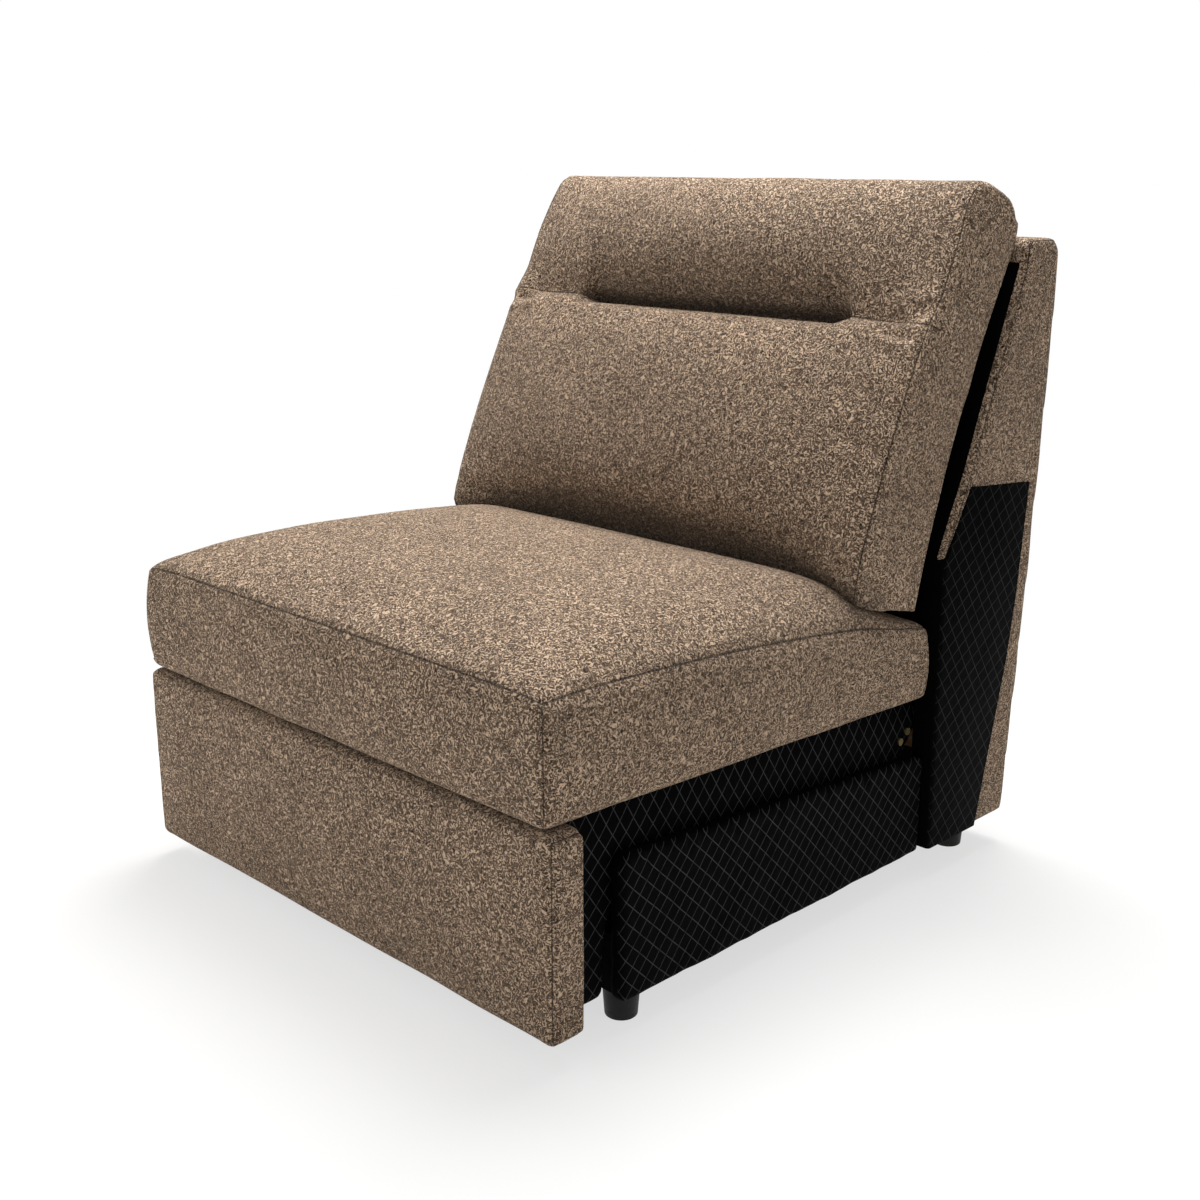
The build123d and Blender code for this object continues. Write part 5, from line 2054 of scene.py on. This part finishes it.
@dataclass
class Studio:
    """Camera, lamps and floor. The camera's place was fitted to the photograph's edges."""

    eye: tuple[float, float, float] = (1.6304, -1.6088, 1.0371)
    yaw: float = 45.2
    pitch: float = 15.7
    lens: float = 47.3
    sensor: float = 36.0
    ambient: float = 0.37
    lamps: tuple[SoftBox, ...] = (
        SoftBox("key", (-0.4, 0.75, 3.0), (0.0, 0.0, 0.4), 1.9, 138),
        SoftBox("front", (-1.2, -2.8, 1.5), (0.0, 0.0, 0.5), 1.8, 21),
        SoftBox("side", (2.9, -0.2, 1.2), (0.3, 0.1, 0.4), 1.6, 5),
    )

    def build(self) -> None:
        """Set the camera, the light and the floor."""
        self.camera()
        self.world()
        self.floor()
        for lamp in self.lamps:
            self.hang(lamp)

    def camera(self) -> None:
        """Look at the recliner from in front of its left side."""
        data = bpy.data.cameras.new("camera")
        data.lens = self.lens
        data.sensor_width = self.sensor
        data.sensor_fit = "HORIZONTAL"
        camera = bpy.data.objects.new("camera", data)
        camera.location = self.eye
        camera.rotation_euler = Euler((math.radians(90 - self.pitch), 0, math.radians(self.yaw)))
        bpy.context.scene.collection.objects.link(camera)
        bpy.context.scene.camera = camera

    def world(self) -> None:
        """Light evenly from all round, with white behind the object."""
        world = bpy.data.worlds.new("studio")
        world.use_nodes = True
        nodes, links = world.node_tree.nodes, world.node_tree.links
        nodes.clear()
        path = nodes.new("ShaderNodeLightPath")
        shown = nodes.new("ShaderNodeMath")
        shown.operation = "MAXIMUM"
        links.new(path.outputs["Is Camera Ray"], shown.inputs[0])
        links.new(path.outputs["Is Transmission Ray"], shown.inputs[1])
        soft = nodes.new("ShaderNodeBackground")
        soft.inputs["Strength"].default_value = self.ambient
        white = nodes.new("ShaderNodeBackground")
        mix = nodes.new("ShaderNodeMixShader")
        output = nodes.new("ShaderNodeOutputWorld")
        for background in (soft, white):
            background.inputs["Color"].default_value = (1, 1, 1, 1)
        links.new(shown.outputs[0], mix.inputs[0])
        links.new(soft.outputs[0], mix.inputs[1])
        links.new(white.outputs[0], mix.inputs[2])
        links.new(mix.outputs[0], output.inputs[0])
        bpy.context.scene.world = world

    def hang(self, lamp: SoftBox) -> None:
        """Hang one lamp and aim it.

        Args:
            lamp: the lamp's place, aim, width and power.
        """
        data = bpy.data.lights.new(lamp.name, "AREA")
        data.size = lamp.size
        data.energy = lamp.power
        obj = bpy.data.objects.new(lamp.name, data)
        obj.location = lamp.place
        aim = Vector(lamp.target) - Vector(lamp.place)
        obj.rotation_euler = aim.to_track_quat("-Z", "Y").to_euler()
        bpy.context.scene.collection.objects.link(obj)

    def floor(self) -> None:
        """Lay a pale floor that keeps a soft shadow, white far away and clear from below."""
        clear_selection()
        bpy.ops.mesh.primitive_plane_add(size=14.0, location=(0, 0, -0.0005))
        floor = bpy.context.object
        floor.name = "floor"
        settle(floor)
        t = Tree("pale_floor")
        path = t.add("LightPath")
        seen = t.math("MAXIMUM", path.outputs["Is Camera Ray"], path.outputs["Is Glossy Ray"])
        matt = t.add("BsdfDiffuse", None, Color=linear("f4f3f1"))
        glow = t.add("Emission", None, Color=(1, 1, 1, 1), Strength=1.0)
        away = t.add("VectorMath", {"operation": "LENGTH"}, _0=t.place()).outputs["Value"]
        whiter = t.ramp(away, 0.7, 1.7, 0.65, 1.0)
        mix = t.add("MixShader", None, _0=t.math("MULTIPLY", seen, whiter))
        t.links.new(matt.outputs[0], mix.inputs[1])
        t.links.new(glow.outputs[0], mix.inputs[2])
        backfacing = t.add("NewGeometry").outputs["Backfacing"]
        below = t.math("MULTIPLY", path.outputs["Is Camera Ray"], backfacing)
        sheet = t.add("MixShader", None, _0=below)
        t.links.new(mix.outputs[0], sheet.inputs[1])
        t.links.new(t.add("BsdfTransparent").outputs[0], sheet.inputs[2])
        t.links.new(sheet.outputs[0], t.output.inputs["Surface"])
        floor.data.materials.append(t.material)


# ------------------------------------------------------------------ assembly


def main() -> None:
    """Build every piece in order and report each."""
    logging.basicConfig(level=logging.INFO, format="%(name)s: %(message)s")
    bpy.context.scene.view_settings.view_transform = "Standard"
    Studio().build()
    FrameFinishes().dress()
    pads = ("footrest_pad", "footrest_board")
    assemblies = (
        SeatCushion("seat_cushion_cover", "seat", ("seat_cushion",), fill=0.85),
        BackCushion("back_cushion_cover", "back", ("back_cushion",), fill=0.75),
        FootrestPanel("footrest_cover", "footrest", pads, fill=0.9, voxel=0.007),
        OuterBack(),
        BaseRails(),
        SeatSides(),
        Feet(),
    )
    for assembly in assemblies:
        for piece in assembly.build():
            kind, faces = type(assembly).__name__, len(piece.data.polygons)
            LOG.info("%s: %s, %d faces", kind, piece.name, faces)


if __name__ == "__main__":
    main()
